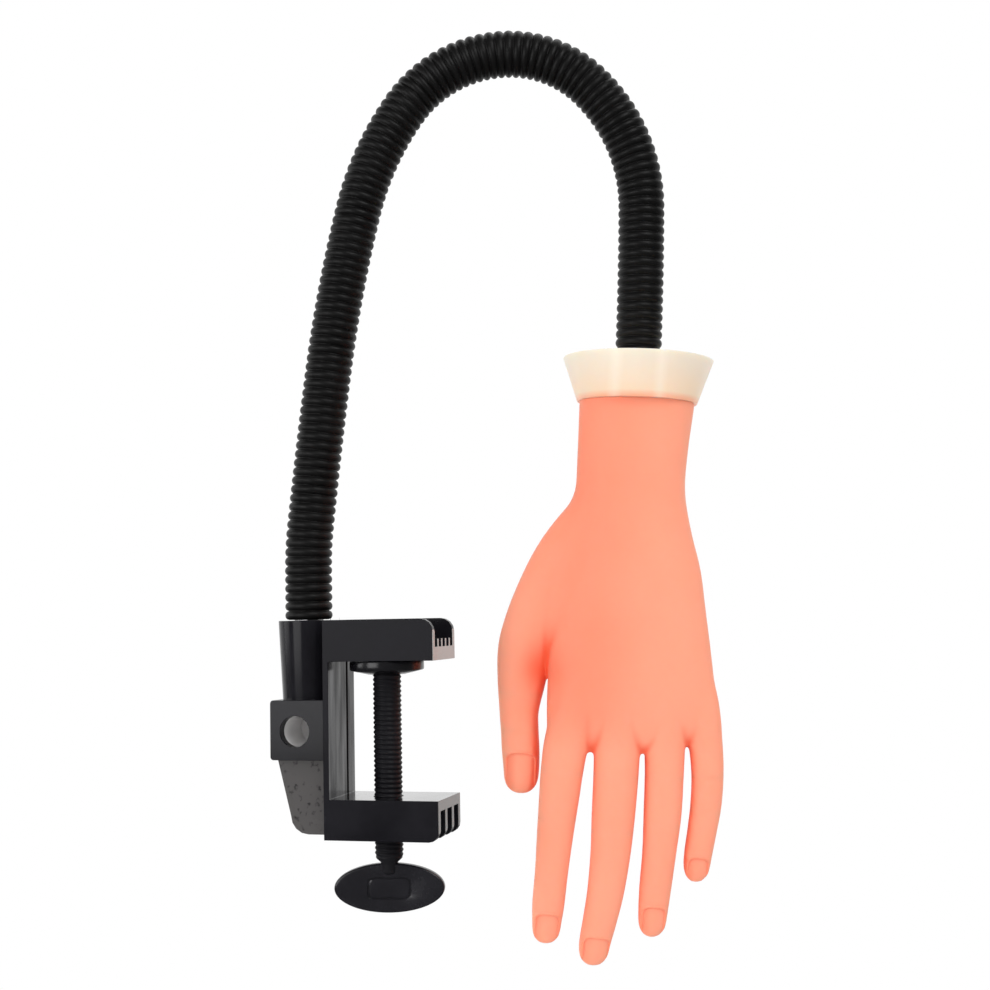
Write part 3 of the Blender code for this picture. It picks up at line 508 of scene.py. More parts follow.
def smooth_by_angle(made, degrees=35.0):
    """Shade smooth, with edges sharper than an angle left crisp."""
    made.data.shade_smooth()
    made.data.set_sharp_from_angle(angle=math.radians(degrees))


# Gooseneck centre line


def walk_neck():
    """Sample the gooseneck's centre line: rows of distance, point and direction."""
    length = sum(arc_length for arc_length, turn in NECK_ARCS)
    steps = round(length / NECK_STEP)
    rows = []
    point = SOCKET_AXIS + UP * UPPER_JAW_HEIGHT
    for i in range(steps + 1):
        distance = NECK_STEP * i
        heading = 0.0
        start = 0.0
        for arc_length, turn in NECK_ARCS:
            heading += turn * min(1.0, max(0.0, (distance - start) / arc_length))
            start += arc_length
        lean = NECK_LEAN * min(1.0, max(0.0, (distance - LEAN_START) / LEAN_LENGTH))
        in_plane = ACROSS * math.sin(heading) + UP * math.cos(heading)
        direction = in_plane * math.cos(lean) - DEEP * math.sin(lean)
        if rows:
            point = point + (direction + rows[-1][2]).normalized() * NECK_STEP
        rows.append((distance, point, direction))
    return rows


NECK_ROWS = walk_neck()
NECK_LENGTH = NECK_ROWS[-1][0]


def neck_at(distance):
    """Point, direction and the two cross directions of the gooseneck at a distance."""
    place = min(max(distance / NECK_STEP, 0.0), len(NECK_ROWS) - 1.001)
    index = int(place)
    share = place - index
    near, far = NECK_ROWS[index], NECK_ROWS[index + 1]
    point = near[1].lerp(far[1], share)
    direction = near[2].lerp(far[2], share).normalized()
    sideways = (DEEP - direction * DEEP.dot(direction)).normalized()
    return point, direction, sideways, direction.cross(sideways)


def collar_frame():
    """Centre of the collar's top face, the way down the hand, across it, and its back."""
    end, down, deep = neck_at(NECK_LENGTH)[:3]
    across = down.cross(deep)
    if across.dot(ACROSS) < 0.0:
        across = -across
    return end - down * (COLLAR_SEAT_DEPTH - PIECE_GAP), down, across, -deep


# Hand surface


def hand_point(along, across, lift):
    """A point of the hand from shares of its length, measured from the wrist."""
    top, down, right, back = collar_frame()
    wrist = top + down * (COLLAR_HEIGHT + PIECE_GAP)
    return wrist + (down * along + right * across + back * lift) * HAND_LENGTH


def between(stations, along):
    """A station at any place, on a smooth curve through the given ones."""
    last = len(stations) - 1
    index = 0
    while index < last - 1 and along > stations[index + 1][0]:
        index += 1
    before = stations[max(index - 1, 0)]
    near, far = stations[index], stations[index + 1]
    after = stations[min(index + 2, last)]
    span = far[0] - near[0]
    share = (along - near[0]) / span
    found = [along]
    for k in range(1, len(near)):
        slope_near = (far[k] - before[k]) / (far[0] - before[0]) * span
        slope_far = (after[k] - near[k]) / (after[0] - near[0]) * span
        cube, square = share ** 3, share ** 2
        value = (2.0 * cube - 3.0 * square + 1.0) * near[k] + (cube - 2.0 * square + share) * slope_near
        value += (3.0 * square - 2.0 * cube) * far[k] + (cube - square) * slope_far
        found.append(value)
    return found


def superellipse(angle, power):
    """Cosine and sine of a rounded box shape."""
    wide, high = math.cos(angle), math.sin(angle)
    exponent = 2.0 / power
    return (math.copysign(abs(wide) ** exponent, wide), math.copysign(abs(high) ** exponent, high))


def spread(start, end, count):
    """Places from start to end, evenly set."""
    return [start + (end - start) * i / count for i in range(count + 1)]


def palm_ring(along, sides, shrink=1.0):
    """A ring of the palm. Above the wrist it keeps the wrist's section."""
    centre, half, back, front = between(PALM_STATIONS_SHARE, max(along, 0.0))[1:]
    ring = []
    for i in range(sides):
        wide, high = superellipse(2.0 * math.pi * i / sides, PALM_SECTION_POWER)
        depth = back if high > 0.0 else front
        across = centre + half * wide * shrink
        sideways = smooth_step((across - LITTLE_WEB_START_SHARE[1]) / LITTLE_WEB_RAMP_SHARE[1])
        forward = smooth_step((along - LITTLE_WEB_START_SHARE[0]) / LITTLE_WEB_RAMP_SHARE[0])
        lead = LITTLE_WEB_LEAD_SHARE * float(sideways * forward)
        ring.append(hand_point(along - lead, across, depth * high * shrink))
    return ring


def digit_axis(digit, along):
    """Point, direction and half width of a digit's centre line."""
    stations = DIGIT_STATIONS_SHARE[digit]
    step = 0.01
    low = max(along - step, stations[0][0])
    high = min(along + step, stations[-1][0])
    across, half, lift = between(stations, along)[1:]
    before = between(stations, low)
    after = between(stations, high)
    direction = hand_point(high, after[1], after[3]) - hand_point(low, before[1], before[3])
    return hand_point(along, across, lift), direction.normalized(), half * HAND_LENGTH


def digit_cross(direction):
    """The directions across and up to the back of a digit."""
    right, back = collar_frame()[2:]
    up = (back - direction * back.dot(direction)).normalized()
    across = direction.cross(up)
    if across.dot(right) < 0.0:
        across = -across
    return across, up


def digit_ring(digit, along, sides, shrink=1.0):
    """A ring of a digit, rounded off towards its tip."""
    centre, direction, half = digit_axis(digit, along)
    across, up = digit_cross(direction)
    tip = DIGIT_STATIONS_SHARE[digit][-1][0]
    rounding = shrink
    if along > tip - TIP_ROUND_SHARE:
        reach = (along - tip + TIP_ROUND_SHARE) / TIP_ROUND_SHARE
        rounding = max(0.0, 1.0 - reach ** TIP_POWER) ** (1.0 / TIP_POWER)
    ring = []
    for i in range(sides):
        wide, high = superellipse(2.0 * math.pi * i / sides, DIGIT_SECTION_POWER)
        ring.append(centre + (across * wide + up * high * DIGIT_FLATNESS) * half * rounding)
    return ring


def web_ring(along, sides, shrink=1.0):
    """A ring of the web between thumb and palm."""
    centre, half, lift, thick = between(WEB_STATIONS_SHARE, along)[1:]
    ring = []
    for i in range(sides):
        angle = 2.0 * math.pi * i / sides
        wide, high = math.cos(angle) * half * shrink, math.sin(angle) * thick * shrink
        ring.append(hand_point(along, centre + wide, lift + high))
    return ring


def hand_volumes():
    """Palm, digits and web as overlapping closed skins in one bmesh."""
    sides = 48
    mesh_data = bmesh.new()
    foot = PALM_STATIONS_SHARE[-1][0]
    rings = [palm_ring(along, sides) for along in spread(-WRIST_OVERRUN_SHARE, foot, 60)]
    rings.append(palm_ring(foot, sides, 0.8))
    loft_into(mesh_data, rings)
    for digit, stations in DIGIT_STATIONS_SHARE.items():
        start, tip = stations[0][0], stations[-1][0]
        shoulder = tip - TIP_ROUND_SHARE
        rings = [digit_ring(digit, start, sides, 0.6)]
        rings += [digit_ring(digit, along, sides) for along in spread(start + 0.006, shoulder, 70)]
        for share in spread(0.06, 0.985, 14):
            along = shoulder + TIP_ROUND_SHARE * math.sin(0.5 * math.pi * share)
            rings.append(digit_ring(digit, along, sides))
        loft_into(mesh_data, rings)
    start, foot = WEB_STATIONS_SHARE[0][0], WEB_STATIONS_SHARE[-1][0]
    rings = [web_ring(start, sides, 0.5)]
    rings += [web_ring(along, sides) for along in spread(start + 0.004, foot - 0.002, 30)]
    rings.append(web_ring(foot, sides, 0.5))
    loft_into(mesh_data, rings)
    return mesh_data


def hand_coordinates(points):
    """Along, across and lift, as shares of the hand's length, of many points."""
    top, down, right, back = collar_frame()
    wrist = top + down * (COLLAR_HEIGHT + PIECE_GAP)
    offset = points - np.array(wrist)
    return [offset @ np.array(axis) / HAND_LENGTH for axis in (down, right, back)]


def smooth_step(values):
    """A smooth ramp from 0 to 1."""
    clipped = np.clip(values, 0.0, 1.0)
    return clipped * clipped * (3.0 - 2.0 * clipped)


def nail_field(digit, points):
    """Depth of each point inside a digit's nail seat, its place aside, and the way up."""
    start, half_share = NAIL_SEATS_SHARE[digit]
    tip = DIGIT_STATIONS_SHARE[digit][-1][0]
    centre, direction, half = digit_axis(digit, 0.5 * (start + tip))
    across, up = digit_cross(direction)
    origin = np.array(digit_axis(digit, start)[0])
    offset = points - origin
    forward = offset @ np.array(direction)
    side = offset @ np.array(across)
    height = (points - np.array(centre)) @ np.array(up)
    base_round = NAIL_ROUND_SHARE * HAND_LENGTH
    half_width = half_share * HAND_LENGTH
    back = np.maximum(base_round - forward, 0.0) / base_round
    reach = np.abs(side / half_width) ** NAIL_POWER + back ** NAIL_POWER
    inside = (1.0 - reach ** (1.0 / NAIL_POWER)) * half_width
    near = np.linalg.norm(offset, axis=1) < NAIL_REACH_SHARE * HAND_LENGTH
    inside = np.where(near & (height > -NAIL_DROP * half), inside, -1.0)
    return inside, side / half_width, up


def mesh_points(mesh):
    """The points of a mesh, one row each."""
    points = np.empty(len(mesh.vertices) * 3)
    mesh.vertices.foreach_get("co", points)
    return points.reshape(-1, 3)


def mesh_normals(mesh):
    """The normals at the points of a mesh, one row each."""
    normals = np.empty(len(mesh.vertices) * 3)
    mesh.vertex_normals.foreach_get("vector", normals)
    return normals.reshape(-1, 3)


def press_nails(mesh):
    """Sink each nail seat into its fingertip, with a raised lip round it."""
    points, normals = mesh_points(mesh), mesh_normals(mesh)
    for digit in DIGIT_STATIONS_SHARE:
        inside, aside, up = nail_field(digit, points)
        sink = smooth_step((inside + 0.3 * NAIL_EDGE) / NAIL_EDGE) * NAIL_DEPTH
        lip = np.exp(-((inside + 0.9 * NAIL_EDGE) / (0.7 * NAIL_EDGE)) ** 2) * NAIL_LIP
        fade = smooth_step((normals @ np.array(up) - NAIL_FADE_START) / NAIL_FADE)
        move = (lip - sink) * fade
        points = points + move[:, None] * np.array(up)
    mesh.vertices.foreach_set("co", points.ravel())
    mesh.update()


def sink_thumb_hollow(mesh):
    """Sink the hollow between thumb and palm into the back of the hand."""
    points = mesh_points(mesh)
    back = np.array(collar_frame()[3])
    along, across = hand_coordinates(points)[:2]
    facing = np.clip(mesh_normals(mesh) @ back, 0.0, 1.0)
    points = points - (thumb_hollow(along, across) * facing * HOLLOW_DEPTH)[:, None] * back
    mesh.vertices.foreach_set("co", points.ravel())
    mesh.update()


def thumb_hollow(along, across):
    """1 in the middle of the hollow between thumb and palm, fading to 0 round it."""
    centre_along, centre_across, reach_along, reach_across = THUMB_HOLLOW_SHARE
    lengthwise = (along - centre_along) / reach_along
    sideways = (across - centre_across) / reach_across
    return np.exp(-lengthwise ** 2 - sideways ** 2)


def thumb_mask(along, across, start):
    """1 on the thumb, fading to 0 towards the wrist and the palm from a start along and across."""
    sideways = smooth_step((start[1] - across) / THUMB_FADE_SHARE[1])
    return sideways * smooth_step((along - start[0]) / THUMB_FADE_SHARE[0])


def mark_painted_shade(mesh, steps):
    """Store the painted shade of the skin, a redder tone: in folds, between digits, on the thumb's side, in
    its hollow, round the nails and on sides turned from the light.
    """
    count = len(mesh.vertices)
    points, normals = mesh_points(mesh), mesh_normals(mesh)
    ends = np.empty(len(mesh.edges) * 2, dtype=np.int64)
    mesh.edges.foreach_get("vertices", ends)
    near, far = ends.reshape(-1, 2).T
    here = np.concatenate((near, far))
    there = np.concatenate((far, near))
    neighbours = np.maximum(np.bincount(here, minlength=count), 1)

    def ease(values, times):
        """Values spread over neighbouring points, a number of times."""
        for step in range(times):
            total = np.bincount(here, weights=values[there], minlength=count)
            values = 0.5 * (values + total / neighbours)
        return values

    # Painted shade in folds: how far each point lies below its smoothed neighbours
    eased = np.stack([ease(points[:, axis], steps) for axis in range(3)], axis=1)
    depth = np.einsum("ij,ij->i", eased - points, normals)
    fold = smooth_step((depth - FOLD_START) / FOLD_RANGE)

    # Painted shade where other skin lies in front of a point: strong when close, weaker further off
    tree = BVHTree.FromPolygons(points.tolist(), [face.vertices[:] for face in mesh.polygons])
    distance = np.full(count, 10.0 * SHADE_FAR)
    for i, (point, normal) in enumerate(zip(points, normals)):
        start = Vector(point) + Vector(normal) * SHADE_RAY_LIFT
        hit = tree.ray_cast(start, Vector(normal), SHADE_FAR)
        if hit[0] is not None:
            distance[i] = hit[3]
    close = ease(np.clip(1.0 - distance / SHADE_NEAR, 0.0, 1.0), SHADE_EASE_STEPS)
    facing = ease(np.clip(1.0 - distance / SHADE_FAR, 0.0, 1.0), SHADE_EASE_STEPS)
    thumb_side = np.clip(-(normals @ np.array(ACROSS)), 0.0, 1.0)
    lit = np.ones(count)
    # Painted shade round each nail seat, and on the left of each nail bed
    for digit in DIGIT_STATIONS_SHARE:
        inside, aside = nail_field(digit, points)[:2]
        lit = lit * (1.0 - NAIL_EDGE_SHADE * np.exp(-(inside / NAIL_EDGE) ** 2))
        shade = THUMB_NAIL_SHADE if digit == "thumb" else NAIL_SHADE
        left = smooth_step((-aside - NAIL_SHADE_START) / NAIL_SHADE_RANGE)
        lit = lit * (1.0 - shade * smooth_step(inside / NAIL_EDGE) * left)
    lit = lit * (1.0 - fold) * (1.0 - CLOSE_SHADE * close)
    # Painted shade on skin that faces other skin, most on sides turned from the light
    lit = lit * (1.0 - FACING_SHADE * facing * (FACING_BASE + (1.0 - FACING_BASE) * thumb_side))
    along, across = hand_coordinates(points)[:2]
    # Painted shade on the thumb where it faces other skin
    lit = lit * (1.0 - THUMB_SIDE_SHADE * facing * thumb_mask(along, across, THUMB_SHADE_START_SHARE))
    # Painted shade in the hollow between thumb and palm, on its back
    behind = np.clip(normals @ np.array(collar_frame()[3]), 0.0, 1.0)
    lit = lit * (1.0 - HOLLOW_SHADE * thumb_hollow(along, across) * behind)
    # Painted shade on the thumb's side of the back, turned from the light
    left_of_back = np.exp(-((across - BACK_SHADE_PLACE_SHARE) / BACK_SHADE_REACH_SHARE) ** 2)
    left_of_back = left_of_back * smooth_step((BACK_SHADE_END_SHARE - along) / BACK_SHADE_FADE_SHARE)
    lit = lit * (1.0 - BACK_SHADE * left_of_back)
    painted_shade = 1.0 - lit
    stored = mesh.attributes.new("painted_shade", "FLOAT", "POINT")
    stored.data.foreach_set("value", ease(painted_shade, SHADE_LAST_STEPS))


def flood(mesh_data, seed, limit_point, limit_normal):
    """Faces joined to the seed face that lie beyond a plane."""
    found = {seed}
    stack = [seed]
    while stack:
        face = stack.pop()
        for edge in face.edges:
            for other in edge.link_faces:
                if other in found:
                    continue
                if (other.calc_center_median() - limit_point).dot(limit_normal) > 0.0:
                    found.add(other)
                    stack.append(other)
    return found


def digit_cuts(digit):
    """The planes that part a digit's visible pieces, in rigid stretches between bends."""
    root, second = DIGIT_JOINTS_SHARE[digit]
    first_cut = root - SKIN_BEND_LEAD / HAND_LENGTH
    second_cut = 0.5 * (root + second)
    return [digit_axis(digit, along)[:2] for along in (first_cut, second_cut)]


def build_hand_mesh(settings):
    """The whole hand as one smooth skin: blended volumes, relaxed, and smoothed more over the palm."""
    whole = make_object("hand_volumes", hand_volumes(), None)
    remesh = whole.modifiers.new("Blend volumes", "REMESH")
    remesh.mode = "VOXEL"
    remesh.voxel_size = settings.voxel
    remesh.use_smooth_shade = True
    relax = whole.modifiers.new("Relax", "SMOOTH")
    relax.factor = 0.5
    relax.iterations = settings.relax_steps
    apply_modifiers(whole)

    along, across = hand_coordinates(mesh_points(whole.data))[:2]
    weight = 1.0 - smooth_step((along - PALM_SOFT_END_SHARE) / PALM_SOFT_FADE_SHARE)
    weight = weight * (1.0 - thumb_mask(along, across, THUMB_FIRM_START_SHARE))
    group = whole.vertex_groups.new(name="palm")
    levels = np.round(weight * 10.0).astype(int)
    for level in range(1, 11):
        members = np.nonzero(levels == level)[0].tolist()
        if members:
            group.add(members, level / 10.0, "REPLACE")
    soften = whole.modifiers.new("Soften palm", "SMOOTH")
    soften.factor = 0.5
    soften.iterations = settings.palm_relax_steps
    soften.vertex_group = "palm"
    apply_modifiers(whole)
    return whole


def refine_nails(mesh_data):
    """Split the faces round each nail seat, so that its lip is crisp."""
    edges = set()
    for digit in DIGIT_STATIONS_SHARE:
        start, half_share = NAIL_SEATS_SHARE[digit]
        tip = DIGIT_STATIONS_SHARE[digit][-1][0]
        base, direction, half = digit_axis(digit, start)
        up = digit_cross(direction)[1]
        for face in mesh_data.faces:
            offset = face.calc_center_median() - base
            if offset.length > (tip - start + NAIL_SPLIT_REACH_SHARE) * HAND_LENGTH:
                continue
            if offset.dot(direction) > -NAIL_SPLIT_LEAD and offset.dot(up) > -NAIL_SPLIT_DROP * half:
                edges.update(face.edges)
    bmesh.ops.subdivide_edges(mesh_data, edges=list(edges), cuts=1, use_grid_fill=True)


def cap_openings(mesh_data):
    """Close the flat openings that cutting a skin leaves."""
    left = {edge for edge in mesh_data.edges if edge.is_boundary}
    while left:
        rim = set()
        waiting = [left.pop()]
        while waiting:
            edge = waiting.pop()
            rim.add(edge)
            for vert in edge.verts:
                for other in vert.link_edges:
                    if other in left:
                        left.remove(other)
                        waiting.append(other)
        made = bmesh.ops.triangle_fill(mesh_data, use_beauty=True, use_dissolve=False, edges=list(rim))
        for face in made["geom"]:
            if isinstance(face, bmesh.types.BMFace):
                face.smooth = False


def split_hand(whole, skin, fold_steps):
    """Part the hand's skin into palm, digit bases and digit tips, with matching shading."""
    mesh_data = bmesh.new()
    mesh_data.from_mesh(whole.data)
    refine_nails(mesh_data)
    fine = bpy.data.meshes.new("hand_fine")
    mesh_data.to_mesh(fine)
    mesh_data.free()
    sink_thumb_hollow(fine)
    press_nails(fine)
    mark_painted_shade(fine, fold_steps)

    mesh_data = bmesh.new()
    mesh_data.from_mesh(fine)
    bpy.data.meshes.remove(fine)
    wrist = hand_point(0.0, 0.0, 0.0)
    down = collar_frame()[1]
    everything = mesh_data.verts[:] + mesh_data.edges[:] + mesh_data.faces[:]
    bmesh.ops.bisect_plane(mesh_data, geom=everything, plane_co=wrist, plane_no=-down, clear_outer=True)
    for digit in DIGIT_JOINTS_SHARE:
        for point, direction in digit_cuts(digit):
            everything = mesh_data.verts[:] + mesh_data.edges[:] + mesh_data.faces[:]
            bmesh.ops.bisect_plane(mesh_data, geom=everything, plane_co=point, plane_no=direction)
    mesh_data.normal_update()
    normals = mesh_data.verts.layers.float_vector.new("whole_normal")
    for vertex in mesh_data.verts:
        vertex[normals] = vertex.normal

    owner = mesh_data.faces.layers.int.new("piece")
    names = ["palm"]
    for digit in DIGIT_JOINTS_SHARE:
        tip_point = digit_axis(digit, DIGIT_STATIONS_SHARE[digit][-1][0])[0]

        def away(face):
            """Squared distance of a face from the digit's tip."""
            return (face.calc_center_median() - tip_point).length_squared

        seed = min(mesh_data.faces, key=away)
        for label, (point, direction) in zip(("base", "tip"), digit_cuts(digit)):
            names.append(digit + "_" + label)
            for face in flood(mesh_data, seed, point, direction):
                face[owner] = len(names) - 1

    pieces = {}
    for index, name in enumerate(names):
        part = mesh_data.copy()
        layer = part.faces.layers.int["piece"]
        others = [face for face in part.faces if face[layer] != index]
        bmesh.ops.delete(part, geom=others, context="FACES")
        cap_openings(part)
        stored = part.verts.layers.float_vector["whole_normal"]
        vertex_normals = [tuple(vertex[stored]) for vertex in part.verts]
        cap_faces = [face.index for face in part.faces if not face.smooth]
        mesh = bpy.data.meshes.new(name + "_skin")
        part.faces.index_update()
        part.to_mesh(mesh)
        part.free()
        mesh.materials.append(skin)
        corner_normals = np.zeros((len(mesh.loops), 3), dtype=np.float32)
        vertex_of = np.empty(len(mesh.loops), dtype=np.int64)
        mesh.loops.foreach_get("vertex_index", vertex_of)
        corner_normals[:] = np.array(vertex_normals, dtype=np.float32)[vertex_of]
        mesh.normals_split_custom_set(corner_normals.tolist())
        for attribute in ("whole_normal", "piece"):
            found = mesh.attributes.get(attribute)
            if found is not None:
                mesh.attributes.remove(found)
        pieces[name] = link(bpy.data.objects.new(name + "_skin_look", mesh))
    mesh_data.free()
    bpy.data.objects.remove(whole, do_unlink=True)
    return pieces


# Materials


def group_socket(tree, name, kind, direction, default=None):
    """Add one named socket to a node group."""
    socket = tree.interface.new_socket(name=name, in_out=direction, socket_type=kind)
    if default is not None:
        socket.default_value = default
    return socket


def make_grain_group():
    """Node group: slow variation, fine speckle and a bump normal from object coordinates."""
    tree = bpy.data.node_groups.new("Surface variation", "ShaderNodeTree")
    group_socket(tree, "Patch Scale", "NodeSocketFloat", "INPUT", 40.0)
    group_socket(tree, "Grain Scale", "NodeSocketFloat", "INPUT", 900.0)
    group_socket(tree, "Bump", "NodeSocketFloat", "INPUT", 0.1)
    group_socket(tree, "Bump Height", "NodeSocketFloat", "INPUT", 0.0001)
    group_socket(tree, "Patches", "NodeSocketFloat", "OUTPUT")
    group_socket(tree, "Normal", "NodeSocketVector", "OUTPUT")
    nodes, links = tree.nodes, tree.links
    source = nodes.new("NodeGroupInput")
    sink = nodes.new("NodeGroupOutput")
    coordinates = nodes.new("ShaderNodeTexCoord")
    patches = nodes.new("ShaderNodeTexNoise")
    patches.inputs["Detail"].default_value = 4.0
    grain = nodes.new("ShaderNodeTexNoise")
    grain.inputs["Detail"].default_value = 2.0
    bump = nodes.new("ShaderNodeBump")
    links.new(coordinates.outputs["Object"], patches.inputs["Vector"])
    links.new(coordinates.outputs["Object"], grain.inputs["Vector"])
    links.new(source.outputs["Patch Scale"], patches.inputs["Scale"])
    links.new(source.outputs["Grain Scale"], grain.inputs["Scale"])
    links.new(grain.outputs["Fac"], bump.inputs["Height"])
    links.new(source.outputs["Bump"], bump.inputs["Strength"])
    links.new(source.outputs["Bump Height"], bump.inputs["Distance"])
    links.new(patches.outputs["Fac"], sink.inputs["Patches"])
    links.new(bump.outputs["Normal"], sink.inputs["Normal"])
    return tree


def new_material(name):
    """A material with a Principled shader; returns it with its nodes, links and shader."""
    material = bpy.data.materials.new(name)
    material.use_nodes = True
    tree = material.node_tree
    return material, tree.nodes, tree.links, tree.nodes["Principled BSDF"]


def add_grain(nodes, group, patch_scale, grain_scale, bump, height):
    """Add the variation group to a material."""
    node = nodes.new("ShaderNodeGroup")
    node.node_tree = group
    node.inputs["Patch Scale"].default_value = patch_scale
    node.inputs["Grain Scale"].default_value = grain_scale
    node.inputs["Bump"].default_value = bump
    node.inputs["Bump Height"].default_value = height
    return node


def ramp_between(nodes, links, value, low, high, start=0.3, end=0.7):
    """A colour ramp from one colour to another, driven by a value."""
    ramp = nodes.new("ShaderNodeValToRGB")
    ramp.color_ramp.elements[0].position = start
    ramp.color_ramp.elements[0].color = (*low, 1.0)
    ramp.color_ramp.elements[1].position = end
    ramp.color_ramp.elements[1].color = (*high, 1.0)
    links.new(value, ramp.inputs["Fac"])
    return ramp


def map_value(nodes, links, value, low, high, start=0.3, end=0.7):
    """Map a 0 to 1 mask onto a range."""
    node = nodes.new("ShaderNodeMapRange")
    node.inputs["From Min"].default_value = start
    node.inputs["From Max"].default_value = end
    node.inputs["To Min"].default_value = low
    node.inputs["To Max"].default_value = high
    links.new(value, node.inputs["Value"])
    return node


def mix_colours(nodes, links, factor, first, colour):
    """Mix a socket's colour with a plain one, by a mask."""
    mix = nodes.new("ShaderNodeMix")
    mix.data_type = "RGBA"
    mix.inputs[MIX_SECOND].default_value = (*colour, 1.0)
    links.new(factor, mix.inputs[MIX_FACTOR])
    links.new(first, mix.inputs[MIX_FIRST])
    return mix


def scaled(colour, factor):
    """A colour made darker or lighter."""
    return tuple(min(1.0, channel * factor) for channel in colour)


def make_plain_material(name, group, colour, roughness, spread_of_roughness, specular,
                        patch_scale, grain_scale, bump, height, metallic=0.0, contrast=0.12):
    """Plastic or metal with uneven colour, uneven gloss and a fine grain."""
    material, nodes, links, shader = new_material(name)
    grain = add_grain(nodes, group, patch_scale, grain_scale, bump, height)
    ramp = ramp_between(nodes, links, grain.outputs["Patches"],
                        scaled(colour, 1.0 - contrast), scaled(colour, 1.0 + contrast))
    gloss = map_value(nodes, links, grain.outputs["Patches"],
                      roughness - spread_of_roughness, roughness + spread_of_roughness)
    links.new(ramp.outputs["Color"], shader.inputs["Base Color"])
    links.new(gloss.outputs["Result"], shader.inputs["Roughness"])
    links.new(grain.outputs["Normal"], shader.inputs["Normal"])
    shader.inputs["Specular IOR Level"].default_value = specular
    shader.inputs["Metallic"].default_value = metallic
    return material


def make_skin_material(group, settings):
    """Soft vinyl skin that light passes into. Painted shade turns folds and skin near other skin a deeper
    red, and a painted rim light tints it where it turns from the view.
    """
    material, nodes, links, shader = new_material("soft_vinyl_skin")
    grain = add_grain(nodes, group, *SKIN_GRAIN)
    colour = tuple(settings.colour)
    low = tuple(channel * tint for channel, tint in zip(colour, SKIN_LOW_TINT))
    high = tuple(min(1.0, channel * tint) for channel, tint in zip(colour, SKIN_HIGH_TINT))
    ramp = ramp_between(nodes, links, grain.outputs["Patches"], low, high)
    gloss = map_value(nodes, links, grain.outputs["Patches"],
                      settings.roughness - SKIN_GLOSS_SPREAD, settings.roughness + SKIN_GLOSS_SPREAD)
    # Painted rim light: a tone mixed in where the skin turns away from the view
    facing = nodes.new("ShaderNodeLayerWeight")
    facing.inputs["Blend"].default_value = 0.5
    rim = map_value(nodes, links, facing.outputs["Facing"], 0.0, 0.8, 0.35, 1.0)
    edge = mix_colours(nodes, links, rim.outputs["Result"], ramp.outputs["Color"], settings.rim_light_colour)
    # Painted shade: the stored mask mixes in a deep red where the skin would lie in shade
    fold = nodes.new("ShaderNodeAttribute")
    fold.attribute_name = "painted_shade"
    depth = map_value(nodes, links, fold.outputs["Fac"], 0.0, 0.92, 0.0, 1.0)
    skin = mix_colours(nodes, links, depth.outputs["Result"], edge.outputs["Result"], settings.painted_shade_colour)
    links.new(skin.outputs["Result"], shader.inputs["Base Color"])
    links.new(gloss.outputs["Result"], shader.inputs["Roughness"])
    links.new(grain.outputs["Normal"], shader.inputs["Normal"])
    shader.inputs["Subsurface Weight"].default_value = settings.softness
    shader.inputs["Subsurface Radius"].default_value = (1.0, 0.35, 0.22)
    shader.inputs["Subsurface Scale"].default_value = settings.light_reach
    shader.inputs["Specular IOR Level"].default_value = 0.12
    return material


